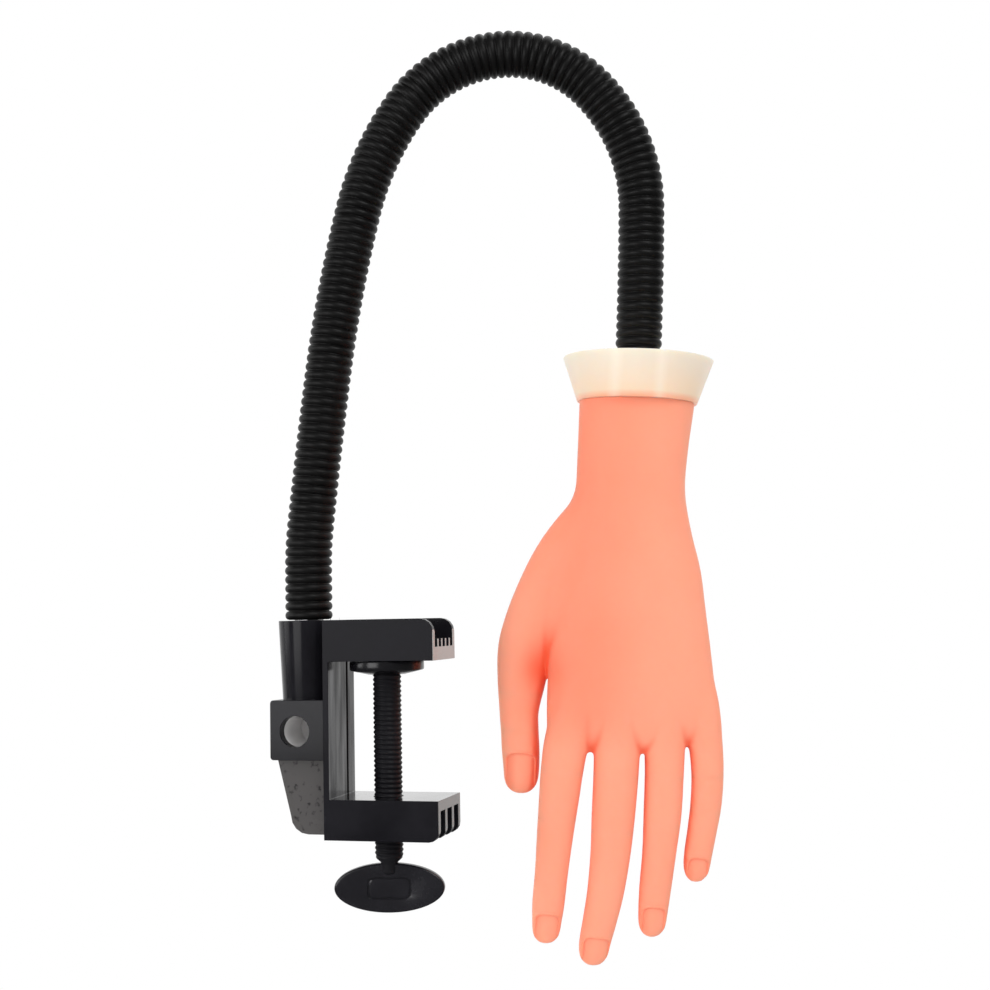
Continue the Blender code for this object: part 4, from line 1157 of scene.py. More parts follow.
def make_collar_material(group, settings):
    """Cream plastic that lets light in, with painted light from the skin below: warmer towards its foot, a
    peach rim, and two lighter upright bands.
    """
    material, nodes, links, shader = new_material("cream_translucent_plastic")
    grain = add_grain(nodes, group, *COLLAR_GRAIN)
    top, down, right = collar_frame()[:3]
    coordinates = nodes.new("ShaderNodeTexCoord")
    dot = nodes.new("ShaderNodeVectorMath")
    dot.operation = "DOT_PRODUCT"
    dot.inputs[1].default_value = down
    links.new(coordinates.outputs["Object"], dot.inputs[0])
    start = top.dot(down)
    # Painted light from the skin below: the cream warms towards the foot and turns peach at the rim
    height = map_value(nodes, links, dot.outputs["Value"], 0.0, 1.0,
                       start + COLLAR_WARM_START * COLLAR_HEIGHT,
                       start + COLLAR_HEIGHT)
    cream = ramp_between(nodes, links, height.outputs["Result"], tuple(settings.top_colour),
                         tuple(settings.foot_light_colour), 0.0, 1.0)
    rim = map_value(nodes, links, dot.outputs["Value"], 0.0, 1.0,
                    *(start + share * COLLAR_HEIGHT for share in COLLAR_RIM_SPAN))
    warm = mix_colours(nodes, links, rim.outputs["Result"], cream.outputs["Color"],
                       tuple(settings.rim_colour))
    # Painted light: two lighter upright bands down the collar, either side of its middle
    aside = nodes.new("ShaderNodeVectorMath")
    aside.operation = "DOT_PRODUCT"
    aside.inputs[1].default_value = right
    links.new(coordinates.outputs["Object"], aside.inputs[0])
    middle = top.dot(right) + COLLAR_LIGHT_BAND_CENTRE
    banded = warm.outputs["Result"]
    for place in (middle - COLLAR_LIGHT_BAND_PLACE, middle + COLLAR_LIGHT_BAND_PLACE):
        away = nodes.new("ShaderNodeMath")
        away.operation = "SUBTRACT"
        links.new(aside.outputs["Value"], away.inputs[0])
        away.inputs[1].default_value = place
        size = nodes.new("ShaderNodeMath")
        size.operation = "ABSOLUTE"
        links.new(away.outputs["Value"], size.inputs[0])
        band = map_value(nodes, links, size.outputs["Value"], 0.30, 0.0,
                         0.1 * COLLAR_LIGHT_BAND_HALF, COLLAR_LIGHT_BAND_HALF)
        lit = mix_colours(nodes, links, band.outputs["Result"], banded, COLLAR_LIGHT_BAND_COLOUR)
        banded = lit.outputs["Result"]
    mottle = map_value(nodes, links, grain.outputs["Patches"], 0.0, 0.10)
    mix = nodes.new("ShaderNodeMix")
    mix.data_type = "RGBA"
    mix.inputs["B"].default_value = (1.0, 0.95, 0.86, 1.0)
    links.new(mottle.outputs["Result"], mix.inputs["Factor"])
    links.new(banded, mix.inputs["A"])
    links.new(mix.outputs["Result"], shader.inputs["Base Color"])
    links.new(grain.outputs["Normal"], shader.inputs["Normal"])
    shader.inputs["Roughness"].default_value = settings.roughness
    shader.inputs["Subsurface Weight"].default_value = 0.7
    shader.inputs["Subsurface Radius"].default_value = (1.0, 0.75, 0.5)
    shader.inputs["Subsurface Scale"].default_value = settings.light_reach
    return material


def shared_group():
    """The variation node group, made once."""
    return bpy.data.node_groups.get("Surface variation") or make_grain_group()


# Settings


class ClampLook(bpy.types.PropertyGroup):
    """Looks of the clamp, its screw and its pad."""

    colour: FloatVectorProperty(
        name="Colour", description="Black of the moulded plastic",
        subtype="COLOR", default=(0.0088, 0.0084, 0.0108), min=0.0, max=1.0)
    roughness: FloatProperty(
        name="Roughness", description="Gloss of the moulded plastic", default=0.22, min=0.0, max=1.0)
    # Painted reflection: a lighter grey on the recessed gusset stands in for the light its glossy face
    # reflects
    gusset_sheen_colour: FloatVectorProperty(
        name="Sheen colour", description="Grey of the dusty gusset",
        subtype="COLOR", default=(0.150, 0.142, 0.138), min=0.0, max=1.0)
    # Painted light: the pale grey inside the cross socket stands in for the light seen in the hole
    socket_light_colour: FloatVectorProperty(
        name="Socket colour", description="Pale grey inside the cross socket",
        subtype="COLOR", default=(0.80, 0.79, 0.785), min=0.0, max=1.0)
    # Painted reflection: the pale grey of the jaw ends stands in for the light their glossy faces reflect;
    # the lower jaw's end gets a darker copy
    jaw_end_sheen_colour: FloatVectorProperty(
        name="Jaw end colour", description="Pale grey of the reflecting jaw end",
        subtype="COLOR", default=(0.40, 0.395, 0.385), min=0.0, max=1.0)
    coat_roughness: FloatProperty(
        name="Shine roughness", description="Roughness of the glossy inner faces", default=0.12,
        min=0.0, max=1.0)
    edge_rounding: FloatProperty(
        name="Edge rounding", description="Radius of the moulded edges", subtype="DISTANCE",
        unit="LENGTH", default=0.35 * MM, min=0.0)
    thread_sides: IntProperty(
        name="Thread sides", description="Points round one turn of the thread", default=48, min=12)


class SleeveLook(bpy.types.PropertyGroup):
    """Looks of the ribbed sleeve of the gooseneck."""

    colour: FloatVectorProperty(
        name="Colour", description="Black of the sleeve",
        subtype="COLOR", default=(0.0040, 0.0038, 0.0038), min=0.0, max=1.0)
    roughness: FloatProperty(
        name="Roughness", description="Gloss of the sleeve", default=0.46, min=0.0, max=1.0)
    crest_radius: FloatProperty(
        name="Crest radius", description="Radius over the ribs", subtype="DISTANCE",
        unit="LENGTH", default=9.1 * MM)
    valley_radius: FloatProperty(
        name="Valley radius", description="Radius between the ribs", subtype="DISTANCE",
        unit="LENGTH", default=7.5 * MM)
    rib_pitch: FloatProperty(
        name="Rib pitch", description="Distance between ribs", subtype="DISTANCE",
        unit="LENGTH", default=3.45 * MM)
    sides: IntProperty(name="Sides", description="Points round the sleeve", default=56, min=8)
    steps: IntProperty(name="Steps", description="Rings along one rib", default=12, min=4)


class CollarLook(bpy.types.PropertyGroup):
    """Looks of the wrist collar."""

    top_colour: FloatVectorProperty(
        name="Top colour", description="Cream at the collar's top", subtype="COLOR",
        default=(0.81, 0.73, 0.61), min=0.0, max=1.0)
    # Painted light: the warm cream next to the skin stands in for the skin's light coming through the plastic
    foot_light_colour: FloatVectorProperty(
        name="Foot colour", description="Warm cream next to the skin", subtype="COLOR",
        default=(0.93, 0.69, 0.49), min=0.0, max=1.0)
    rim_colour: FloatVectorProperty(
        name="Rim colour", description="Peach of the collar's foot, lit through the skin", subtype="COLOR",
        default=(1.0, 0.44, 0.28), min=0.0, max=1.0)
    roughness: FloatProperty(
        name="Roughness", description="Gloss of the collar", default=0.34, min=0.0, max=1.0)
    light_reach: FloatProperty(
        name="Light reach", description="How far light travels in the plastic", subtype="DISTANCE",
        unit="LENGTH", default=4.0 * MM)


class SkinLook(bpy.types.PropertyGroup):
    """Looks of the soft hand."""

    colour: FloatVectorProperty(
        name="Colour", description="Pink of the soft vinyl", subtype="COLOR",
        default=(1.0, 0.355, 0.228), min=0.0, max=1.0)
    roughness: FloatProperty(
        name="Roughness", description="Gloss of the skin", default=0.46, min=0.0, max=1.0)
    softness: FloatProperty(
        name="Softness", description="Share of light that passes into the skin", default=0.35,
        min=0.0, max=1.0)
    light_reach: FloatProperty(
        name="Light reach", description="How far light travels in the skin", subtype="DISTANCE",
        unit="LENGTH", default=3.0 * MM)
    voxel: FloatProperty(
        name="Grid", description="Grid on which the hand's volumes are blended", subtype="DISTANCE",
        unit="LENGTH", default=0.65 * MM)
    relax_steps: IntProperty(
        name="Relax steps", description="Smoothing of the whole skin", default=12, min=0)
    # How far the painted shade round folds reaches
    fold_steps: IntProperty(
        name="Fold steps", description="Reach of the redder tone round folds", default=70, min=1)
    # Painted shade: the deep red mixed into the skin where it would lie in shade
    painted_shade_colour: FloatVectorProperty(
        name="Fold colour", description="Red of the skin deep in a fold", subtype="COLOR",
        default=(0.92, 0.10, 0.035), min=0.0, max=1.0)
    # Painted rim light: the tone mixed in where the skin turns away from the view
    rim_light_colour: FloatVectorProperty(
        name="Edge colour", description="Tone of the skin where it turns away", subtype="COLOR",
        default=(1.0, 0.365, 0.235), min=0.0, max=1.0)
    palm_relax_steps: IntProperty(
        name="Palm relax steps", description="More smoothing of palm and wrist", default=130, min=0)


class StageLook(bpy.types.PropertyGroup):
    """Floor, backdrop and lamps."""

    key_power: FloatProperty(
        name="Key power", description="Power of the main lamp", unit="POWER", default=3.6, min=0.0)
    fill_power: FloatProperty(
        name="Fill power", description="Power of the fill lamp", unit="POWER", default=3.4, min=0.0)
    ambient: FloatProperty(
        name="Ambient", description="Brightness of the surroundings", default=0.80, min=0.0)
    reflected: FloatProperty(
        name="Reflected", description="Brightness of the surroundings in reflections", default=0.12, min=0.0)


# Operators


class PRACTICEHAND_OT_clamp(bpy.types.Operator):
    """Build the clamp body with rounded moulded edges"""

    bl_idname = "practice_hand.clamp"
    bl_label = "Clamp body"

    def execute(self, context):
        settings = context.scene.practice_clamp
        black = clamp_plastic(settings)
        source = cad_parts["clamp_frame"]
        made = link(bpy.data.objects.new("clamp_frame_look", source.data.copy()))
        made.matrix_world = source.matrix_world.copy()
        made.data.transform(made.matrix_world)
        made.matrix_world = Matrix.Identity(4)
        mesh_data = bmesh.new()
        mesh_data.from_mesh(made.data)
        bmesh.ops.remove_doubles(mesh_data, verts=mesh_data.verts, dist=0.01 * MM)
        bmesh.ops.dissolve_limit(mesh_data, angle_limit=math.radians(1.0), verts=mesh_data.verts,
                                 edges=mesh_data.edges)
        mesh_data.to_mesh(made.data)
        mesh_data.free()
        made.data.materials.clear()
        made.data.materials.append(black)
        smooth_by_angle(made)
        add_bevel(made, settings.edge_rounding)
        even = made.modifiers.new("Even faces", "WEIGHTED_NORMAL")
        even.mode = "FACE_AREA"
        even.weight = 100
        even.keep_sharp = True
        apply_modifiers(made)
        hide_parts("clamp_frame")
        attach(made, "clamp")
        return {"FINISHED"}


def black_plastic(name, settings, lightness):
    """The glossy plastic of paddle or pad, lighter or darker than the clamp's."""
    return make_plain_material(name, shared_group(), scaled(tuple(settings.colour), lightness),
                               settings.roughness, spread_of_roughness=0.06, specular=0.50, **BLACK_GRAIN)


def clamp_plastic(settings):
    """The clamp body's plastic: satin sides, glossy inner faces, and painted reflections on the gusset, in
    the cross socket and on the jaw ends.
    """
    material = make_plain_material("black_clamp_plastic", shared_group(), tuple(settings.colour),
                                   settings.roughness, spread_of_roughness=0.06, specular=0.42,
                                   **BLACK_GRAIN)
    add_clamp_sheen_and_marks(material, settings)
    return material


def thread_plastic(settings):
    """The rod's plastic, duller than the clamp's."""
    return make_plain_material("black_thread_plastic", shared_group(), tuple(settings.colour),
                               0.50, spread_of_roughness=0.08, specular=0.22, **BLACK_GRAIN)


def make_box_mask_group():
    """Node group: 1 inside an upright box given by its centre and half size, else 0."""
    tree = bpy.data.node_groups.new("Box mask", "ShaderNodeTree")
    group_socket(tree, "Centre", "NodeSocketVector", "INPUT", (0.0, 0.0, 0.0))
    group_socket(tree, "Half Size", "NodeSocketVector", "INPUT", (0.01, 0.01, 0.01))
    group_socket(tree, "Softness", "NodeSocketFloat", "INPUT", 0.0001)
    group_socket(tree, "Mask", "NodeSocketFloat", "OUTPUT")
    nodes, links = tree.nodes, tree.links
    source = nodes.new("NodeGroupInput")
    sink = nodes.new("NodeGroupOutput")
    coordinates = nodes.new("ShaderNodeTexCoord")
    value = coordinates.outputs["Object"]
    for operation, socket in (("SUBTRACT", "Centre"), ("ABSOLUTE", None), ("SUBTRACT", "Half Size")):
        step = nodes.new("ShaderNodeVectorMath")
        step.operation = operation
        links.new(value, step.inputs[0])
        if socket:
            links.new(source.outputs[socket], step.inputs[1])
        value = step.outputs["Vector"]
    split = nodes.new("ShaderNodeSeparateXYZ")
    links.new(value, split.inputs["Vector"])
    widest = split.outputs["X"]
    for axis in ("Y", "Z"):
        larger = nodes.new("ShaderNodeMath")
        larger.operation = "MAXIMUM"
        links.new(widest, larger.inputs[0])
        links.new(split.outputs[axis], larger.inputs[1])
        widest = larger.outputs["Value"]
    ramp = nodes.new("ShaderNodeMapRange")
    ramp.inputs["From Max"].default_value = 0.0
    ramp.inputs["To Min"].default_value = 1.0
    ramp.inputs["To Max"].default_value = 0.0
    negative = nodes.new("ShaderNodeMath")
    negative.operation = "MULTIPLY"
    negative.inputs[1].default_value = -1.0
    links.new(source.outputs["Softness"], negative.inputs[0])
    links.new(negative.outputs["Value"], ramp.inputs["From Min"])
    links.new(widest, ramp.inputs["Value"])
    links.new(ramp.outputs["Result"], sink.inputs["Mask"])
    return tree


def box_mask(nodes, low, high, softness):
    """A box mask node between two corners."""
    node = nodes.new("ShaderNodeGroup")
    node.node_tree = bpy.data.node_groups.get("Box mask") or make_box_mask_group()
    node.inputs["Centre"].default_value = 0.5 * (Vector(low) + Vector(high))
    node.inputs["Half Size"].default_value = 0.5 * (Vector(high) - Vector(low))
    node.inputs["Softness"].default_value = softness
    return node.outputs["Mask"]


def add_clamp_sheen_and_marks(material, settings):
    """Painted reflections: a speckled lighter grey on the gusset, pale grey in the cross socket and on the
    jaw ends; also glossy inner faces and the mould line on the spine.
    """
    nodes, links = material.node_tree.nodes, material.node_tree.links
    shader = nodes["Principled BSDF"]
    left = -SCREW_FROM_SOCKET - CROSS_BOSS_LEFT
    spine = -SCREW_FROM_SOCKET + SPINE_FROM_SOCKET
    face = spine + SPINE_THICKNESS
    boss_top = UPPER_JAW_HEIGHT - SOCKET_HEIGHT
    boss_foot = boss_top - CROSS_BOSS_HEIGHT
    front = -0.5 * CROSS_BOSS_DEPTH
    jaw_end = -SCREW_FROM_SOCKET + UPPER_JAW_REACH
    lower_end = -SCREW_FROM_SOCKET + LOWER_JAW_REACH
    edge, fine = MARK_EDGE, 0.5 * MARK_EDGE
    deep = CLAMP_DEPTH

    def face_mask(low, high):
        """A mask with a crisp edge."""
        return box_mask(nodes, low, high, 0.4 * fine)

    gusset = box_mask(nodes, (left, -GUSSET_HALF, -CLAMP_FOOT),
                      (spine - edge, GUSSET_HALF, boss_foot - edge), edge)
    # The cross socket's inside, where pale grey is painted in as light
    inside = box_mask(nodes, (left + edge, front + SOCKET_LIGHT_DEPTH, boss_foot + edge),
                      (spine, -front - edge, boss_top - edge), fine)
    line = face_mask((face - edge, MOULD_LINE_Y, -JAW_OPENING),
                     (face + edge, MOULD_LINE_Y + MOULD_LINE_WIDTH, 0.0))
    spine_face = face_mask((face - fine, -deep, -JAW_OPENING), (face + fine, deep, 0.0))
    shelf = face_mask((face, -deep, -JAW_OPENING - fine), (lower_end, deep, -JAW_OPENING + fine))
    upper_face = face_mask((jaw_end - fine, -deep, 0.0), (jaw_end + fine, deep, UPPER_JAW_HEIGHT))
    lower_face = face_mask((lower_end - fine, -deep, -CLAMP_FOOT),
                           (lower_end + fine, deep, -JAW_OPENING))
    side = face_mask((left - edge, -deep, -CLAMP_FOOT),
                     (lower_end - edge, fine - 0.5 * deep, UPPER_JAW_HEIGHT))

    coordinates = nodes.new("ShaderNodeTexCoord")
    # Painted reflection on the gusset: a lighter grey broken up into specks
    specks = nodes.new("ShaderNodeTexNoise")
    specks.inputs["Scale"].default_value = 420.0
    specks.inputs["Detail"].default_value = 3.0
    links.new(coordinates.outputs["Object"], specks.inputs["Vector"])
    painted_sheen = ramp_between(nodes, links, specks.outputs["Fac"], scaled(tuple(settings.gusset_sheen_colour), 0.25),
                         tuple(settings.gusset_sheen_colour), 0.30, 0.42)
    base = shader.inputs["Base Color"].links[0].from_socket
    with_sheen = nodes.new("ShaderNodeMix")
    with_sheen.data_type = "RGBA"
    links.new(gusset, with_sheen.inputs["Factor"])
    links.new(base, with_sheen.inputs["A"])
    links.new(painted_sheen.outputs["Color"], with_sheen.inputs["B"])
    with_socket_light = mix_colours(nodes, links, inside, with_sheen.outputs["Result"], tuple(settings.socket_light_colour))
    # Painted reflection on the jaw ends: pale grey on the upper one, a darker grey on the lower one
    with_upper = mix_colours(nodes, links, upper_face, with_socket_light.outputs["Result"],
                             tuple(settings.jaw_end_sheen_colour))
    lower_end_sheen = scaled(tuple(settings.jaw_end_sheen_colour), 0.4)
    with_lower = mix_colours(nodes, links, lower_face, with_upper.outputs["Result"], lower_end_sheen)
    lined = mix_colours(nodes, links, line, with_lower.outputs["Result"], (0.0, 0.0, 0.0))
    links.new(lined.outputs["Result"], shader.inputs["Base Color"])

    stretch = nodes.new("ShaderNodeMapping")
    stretch.inputs["Scale"].default_value = (1.0, 1.0, 0.10)
    links.new(coordinates.outputs["Object"], stretch.inputs["Vector"])
    streaks = nodes.new("ShaderNodeTexNoise")
    streaks.inputs["Scale"].default_value = 260.0
    streaks.inputs["Detail"].default_value = 5.0
    links.new(stretch.outputs["Vector"], streaks.inputs["Vector"])
    streaked = map_value(nodes, links, streaks.outputs["Fac"], 0.64, 0.10, 0.38, 0.62).outputs["Result"]

    def mixed(factor, first, second):
        """A value that goes from first to second as the factor goes from 0 to 1."""
        mix = nodes.new("ShaderNodeMix")
        mix.data_type = "FLOAT"
        links.new(factor, mix.inputs["Factor"])
        for socket, value in (("A", first), ("B", second)):
            if isinstance(value, float):
                mix.inputs[socket].default_value = value
            else:
                links.new(value, mix.inputs[socket])
        return mix.outputs["Result"]

    roughness = shader.inputs["Roughness"].links[0].from_socket
    roughness = mixed(upper_face, roughness, JAW_END_ROUGHNESS)
    links.new(mixed(line, roughness, LINE_ROUGHNESS), shader.inputs["Roughness"])
    gloss = mixed(spine_face, mixed(side, PLAIN_GLOSS, 0.0), streaked)
    for mask, weight in ((shelf, 1.0), (upper_face, JAW_END_GLOSS), (lower_face, JAW_END_GLOSS),
                         (gusset, GUSSET_GLOSS), (line, 0.0)):
        gloss = mixed(mask, gloss, weight)
    links.new(gloss, shader.inputs["Coat Weight"])
    shader.inputs["Coat Roughness"].default_value = settings.coat_roughness
    shader.inputs["Specular IOR Level"].default_value = 0.08


def thread_rings(sides):
    """Rings of the clamp screw: a helical thread that fades out at both ends."""
    steps_per_turn = 8
    start, end = SCREW_TOP, SCREW_THREAD_END
    count = round((end - start) / SCREW_PITCH * steps_per_turn)
    rings = []
    for k in range(count + 1):
        depth = start + (end - start) * k / count
        fade = min(1.0, (depth - start) / SCREW_PITCH, (end - depth) / SCREW_PITCH)
        ring = []
        for i in range(sides):
            turn = i / sides
            phase = (depth / SCREW_PITCH - turn) % 1.0
            height = 1.0 - abs(2.0 * phase - 1.0)
            height = min(1.0, max(0.0, THREAD_SLOPE * height - THREAD_ROOT_FLAT))
            radius = SCREW_ROOT_RADIUS + (SCREW_RADIUS - SCREW_ROOT_RADIUS) * height * max(fade, 0.0)
            angle = 2.0 * math.pi * turn
            ring.append(Vector((radius * math.cos(angle), radius * math.sin(angle), -depth)))
        rings.append(ring)
    return rings


class PRACTICEHAND_OT_screw(bpy.types.Operator):
    """Build the threaded rod, the oval paddle and the round pad"""

    bl_idname = "practice_hand.screw"
    bl_label = "Clamp screw and pad"

    def execute(self, context):
        settings = context.scene.practice_clamp
        black = black_plastic("black_moulded_plastic", settings, 1.3)
        sides = settings.thread_sides
        rings = thread_rings(sides)
        first, second = Vector((1.0, 0.0, 0.0)), Vector((0.0, 1.0, 0.0))
        shoulder = SCREW_THREAD_END + SCREW_SHOULDER
        rings.append(circle(-UP * shoulder, first, second, STEM_RADIUS, sides))
        rings.append(circle(-UP * (STEM_END - STEM_CHAMFER), first, second, STEM_RADIUS, sides))
        for share in spread(0.2, 0.96, 6):
            angle = 0.5 * math.pi * share
            radius = STEM_RADIUS - STEM_CHAMFER * (1.0 - math.cos(angle))
            depth = STEM_END - STEM_CHAMFER * (1.0 - math.sin(angle))
            rings.append(circle(-UP * depth, first, second, radius, sides))
        mesh_data = bmesh.new()
        loft_into(mesh_data, rings)
        rod = make_object("clamp_screw_look", mesh_data, thread_plastic(settings))
        smooth_by_angle(rod, 50.0)
        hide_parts("clamp_screw")
        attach(rod, "screw")

        paddle = build_paddle(black)
        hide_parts("thumb_paddle")
        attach(paddle, "screw")

        pad = build_pad(black_plastic("black_pad_plastic", settings, 0.6))
        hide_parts("pressure_pad")
        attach(pad, "pad")
        return {"FINISHED"}


def rounded_rectangle(half_wide, half_high, power, sides):
    """Points of a rounded rectangle as a superellipse."""
    points = []
    for i in range(sides):
        wide, high = superellipse(2.0 * math.pi * i / sides, power)
        points.append((half_wide * wide, half_high * high))
    return points


def build_paddle(black):
    """The oval paddle, crowned at its edge, with a sunk panel on each face."""
    sides = 96
    half = 0.5 * PADDLE_THICKNESS
    mesh_data = bmesh.new()
    half_wide, half_high = 0.5 * PADDLE_WIDTH, 0.5 * PADDLE_HEIGHT
    panel = rounded_rectangle(0.5 * PANEL_WIDTH, 0.5 * PANEL_HEIGHT, PANEL_POWER, sides)
    oval = [(half_wide * math.cos(2.0 * math.pi * i / sides), half_high * math.sin(2.0 * math.pi * i / sides))
            for i in range(sides)]

    def ring(outline, inset, y):
        """The outline drawn in by an inset, at a place across the paddle."""
        points = []
        for x, z in outline:
            length = math.hypot(x, z)
            shrink = (length - inset) / length
            points.append(Vector((x * shrink, y, z * shrink - PADDLE_CENTRE)))
        return points

    front = []
    for inset, depth_share in PANEL_GROOVE_SHARES:
        front.append(ring(panel, inset * PANEL_EDGE, -half + depth_share * PANEL_DEPTH))
    for angle_share in (0.0, 0.25, 0.5, 0.75, 1.0):
        angle = 0.5 * math.pi * angle_share
        inset = PADDLE_ROUNDING * (1.0 - math.sin(angle))
        front.append(ring(oval, inset, -half + PADDLE_ROUNDING * (1.0 - math.cos(angle))))
    back = [[Vector((point.x, -point.y, point.z)) for point in points] for points in reversed(front)]
    loft_into(mesh_data, front + back)
    mesh_data.transform(Matrix.Rotation(PADDLE_TURN, 4, "Z"))
    paddle = make_object("thumb_paddle_look", mesh_data, black)
    smooth_by_angle(paddle, 40.0)
    return paddle


def build_pad(black):
    """The round pressure pad: a short rim over a shallow cone."""
    low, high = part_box("pressure_pad")
    radius = 0.5 * (high[0] - low[0])
    top, foot = -high[2], -low[2]
    rim = top + PAD_RIM
    soft = PAD_ROUNDING
    bore = SCREW_RADIUS + PIECE_GAP
    roof = top + PAD_ROOF
    profile = [(PAD_SCREW_HOLE_RADIUS, top), (radius - soft, top), (radius - 0.3 * soft, top + 0.12 * soft),
               (radius, top + soft), (radius, rim - soft), (radius - 0.25 * soft, rim - 0.1 * soft),
               (radius - soft, rim + 0.4 * soft)]
    profile += [(PAD_NECK_RADIUS, foot), (bore, foot), (bore, roof),
                (PAD_SCREW_HOLE_RADIUS, roof)]
    pad = turned("pressure_pad_look", profile, Vector((0.0, 0.0, 0.0)), -UP, black, 96, closed=True)
    smooth_by_angle(pad, 40.0)
    return pad


def make_sleeve_tree():
    """Geometry Nodes: a ribbed tube along a curve, from named sizes."""
    tree = bpy.data.node_groups.new("Ribbed sleeve", "GeometryNodeTree")
    group_socket(tree, "Geometry", "NodeSocketGeometry", "INPUT")
    sockets = {}
    for name, kind, default in (
        ("Crest Radius", "NodeSocketFloat", 0.009),
        ("Valley Radius", "NodeSocketFloat", 0.0075),
        ("Rib Pitch", "NodeSocketFloat", 0.0035),
        ("Start", "NodeSocketFloat", 0.0),
        ("Step", "NodeSocketFloat", 0.0003),
        ("Sides", "NodeSocketInt", 48),
        ("Material", "NodeSocketMaterial", None),
    ):
        sockets[name] = group_socket(tree, name, kind, "INPUT", default).identifier
    group_socket(tree, "Geometry", "NodeSocketGeometry", "OUTPUT")
    nodes, links = tree.nodes, tree.links
    source = nodes.new("NodeGroupInput")
    sink = nodes.new("NodeGroupOutput")

    def math_node(operation, first, second=None):
        """The result of a sum on sockets or plain numbers."""
        node = nodes.new("ShaderNodeMath")
        node.operation = operation
        for socket, value in zip(node.inputs, (first, second)):
            if isinstance(value, (int, float)):
                socket.default_value = value
            elif value is not None:
                links.new(value, socket)
        return node.outputs["Value"]

    resample = nodes.new("GeometryNodeResampleCurve")
    resample.mode = "LENGTH"
    links.new(source.outputs["Geometry"], resample.inputs["Curve"])
    links.new(source.outputs["Step"], resample.inputs["Length"])
    parameter = nodes.new("GeometryNodeSplineParameter")
    place = math_node("ADD", parameter.outputs["Length"], source.outputs["Start"])
    phase = math_node("DIVIDE", place, source.outputs["Rib Pitch"])
    wave = math_node("ABSOLUTE", math_node("SINE", math_node("MULTIPLY", phase, math.pi)))
    rounded = math_node("POWER", wave, RIB_POWER)
    rise = math_node("SUBTRACT", source.outputs["Crest Radius"], source.outputs["Valley Radius"])
    radius = math_node("ADD", source.outputs["Valley Radius"], math_node("MULTIPLY", rounded, rise))
    profile = nodes.new("GeometryNodeCurvePrimitiveCircle")
    profile.inputs["Radius"].default_value = 1.0
    links.new(source.outputs["Sides"], profile.inputs["Resolution"])
    sweep = nodes.new("GeometryNodeCurveToMesh")
    sweep.inputs["Fill Caps"].default_value = True
    links.new(resample.outputs["Curve"], sweep.inputs["Curve"])
    links.new(profile.outputs["Curve"], sweep.inputs["Profile Curve"])
    links.new(radius, sweep.inputs["Scale"])
    shade = nodes.new("GeometryNodeSetShadeSmooth")
    links.new(sweep.outputs["Mesh"], shade.inputs["Geometry"])
    realize = nodes.new("GeometryNodeRealizeInstances")
    links.new(shade.outputs["Geometry"], realize.inputs["Geometry"])
    paint = nodes.new("GeometryNodeSetMaterial")
    links.new(realize.outputs["Geometry"], paint.inputs["Geometry"])
    links.new(source.outputs["Material"], paint.inputs["Material"])
    links.new(paint.outputs["Geometry"], sink.inputs["Geometry"])
    return tree, sockets


class PRACTICEHAND_OT_sleeve(bpy.types.Operator):
    """Build the ribbed sleeve of the gooseneck, one stretch for each bend"""

    bl_idname = "practice_hand.sleeve"
    bl_label = "Ribbed sleeve"

    def execute(self, context):
        settings = context.scene.practice_sleeve
        black = make_plain_material("sleeve_plastic", shared_group(), tuple(settings.colour),
                                    settings.roughness, spread_of_roughness=0.05, specular=0.26,
                                    **SLEEVE_GRAIN)
        tree, sockets = make_sleeve_tree()
        pitch = settings.rib_pitch
        start = NECK_START_GAP
        ends = []
        for near, far in zip(NECK_JOINT_PLACES, NECK_JOINT_PLACES[1:]):
            ends.append(round((0.5 * (near + far) - start) / pitch) * pitch + start)
        cuts = [start] + ends + [NECK_LENGTH]
        for i, (low, high) in enumerate(zip(cuts, cuts[1:])):
            made = self.stretch(i, low, high, start, settings, black, tree, sockets)
            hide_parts("hose_%d" % (i + 1))
            if i == len(NECK_JOINT_PLACES) - 1:
                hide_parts("hose_%d" % (i + 2))
            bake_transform(made)
        return {"FINISHED"}

    def stretch(self, index, low, high, start, settings, black, tree, sockets):
        """One stretch of sleeve between two distances along the gooseneck."""
        name = "sleeve_look_%d" % (index + 1)
        curve = bpy.data.curves.new(name, "CURVE")
        curve.dimensions = "3D"
        spline = curve.splines.new("POLY")
        over = 0.5 * settings.rib_pitch / settings.steps
        reach = min(high + over, NECK_LENGTH)
        places = spread(low, reach, max(2, round((high - low) / NECK_STEP)))
        spline.points.add(len(places) - 1)
        for point, distance in zip(spline.points, places):
            point.co = (*neck_at(distance)[0], 1.0)
        made = link(bpy.data.objects.new(name, curve))
        modifier = made.modifiers.new("Ribbed sleeve", "NODES")
        modifier.node_group = tree
        values = {
            "Crest Radius": settings.crest_radius,
            "Valley Radius": settings.valley_radius,
            "Rib Pitch": settings.rib_pitch,
            "Start": low - start,
            "Step": settings.rib_pitch / settings.steps,
            "Sides": settings.sides,
            "Material": black,
        }
        for key, value in values.items():
            modifier[sockets[key]] = value
        return apply_modifiers(made)


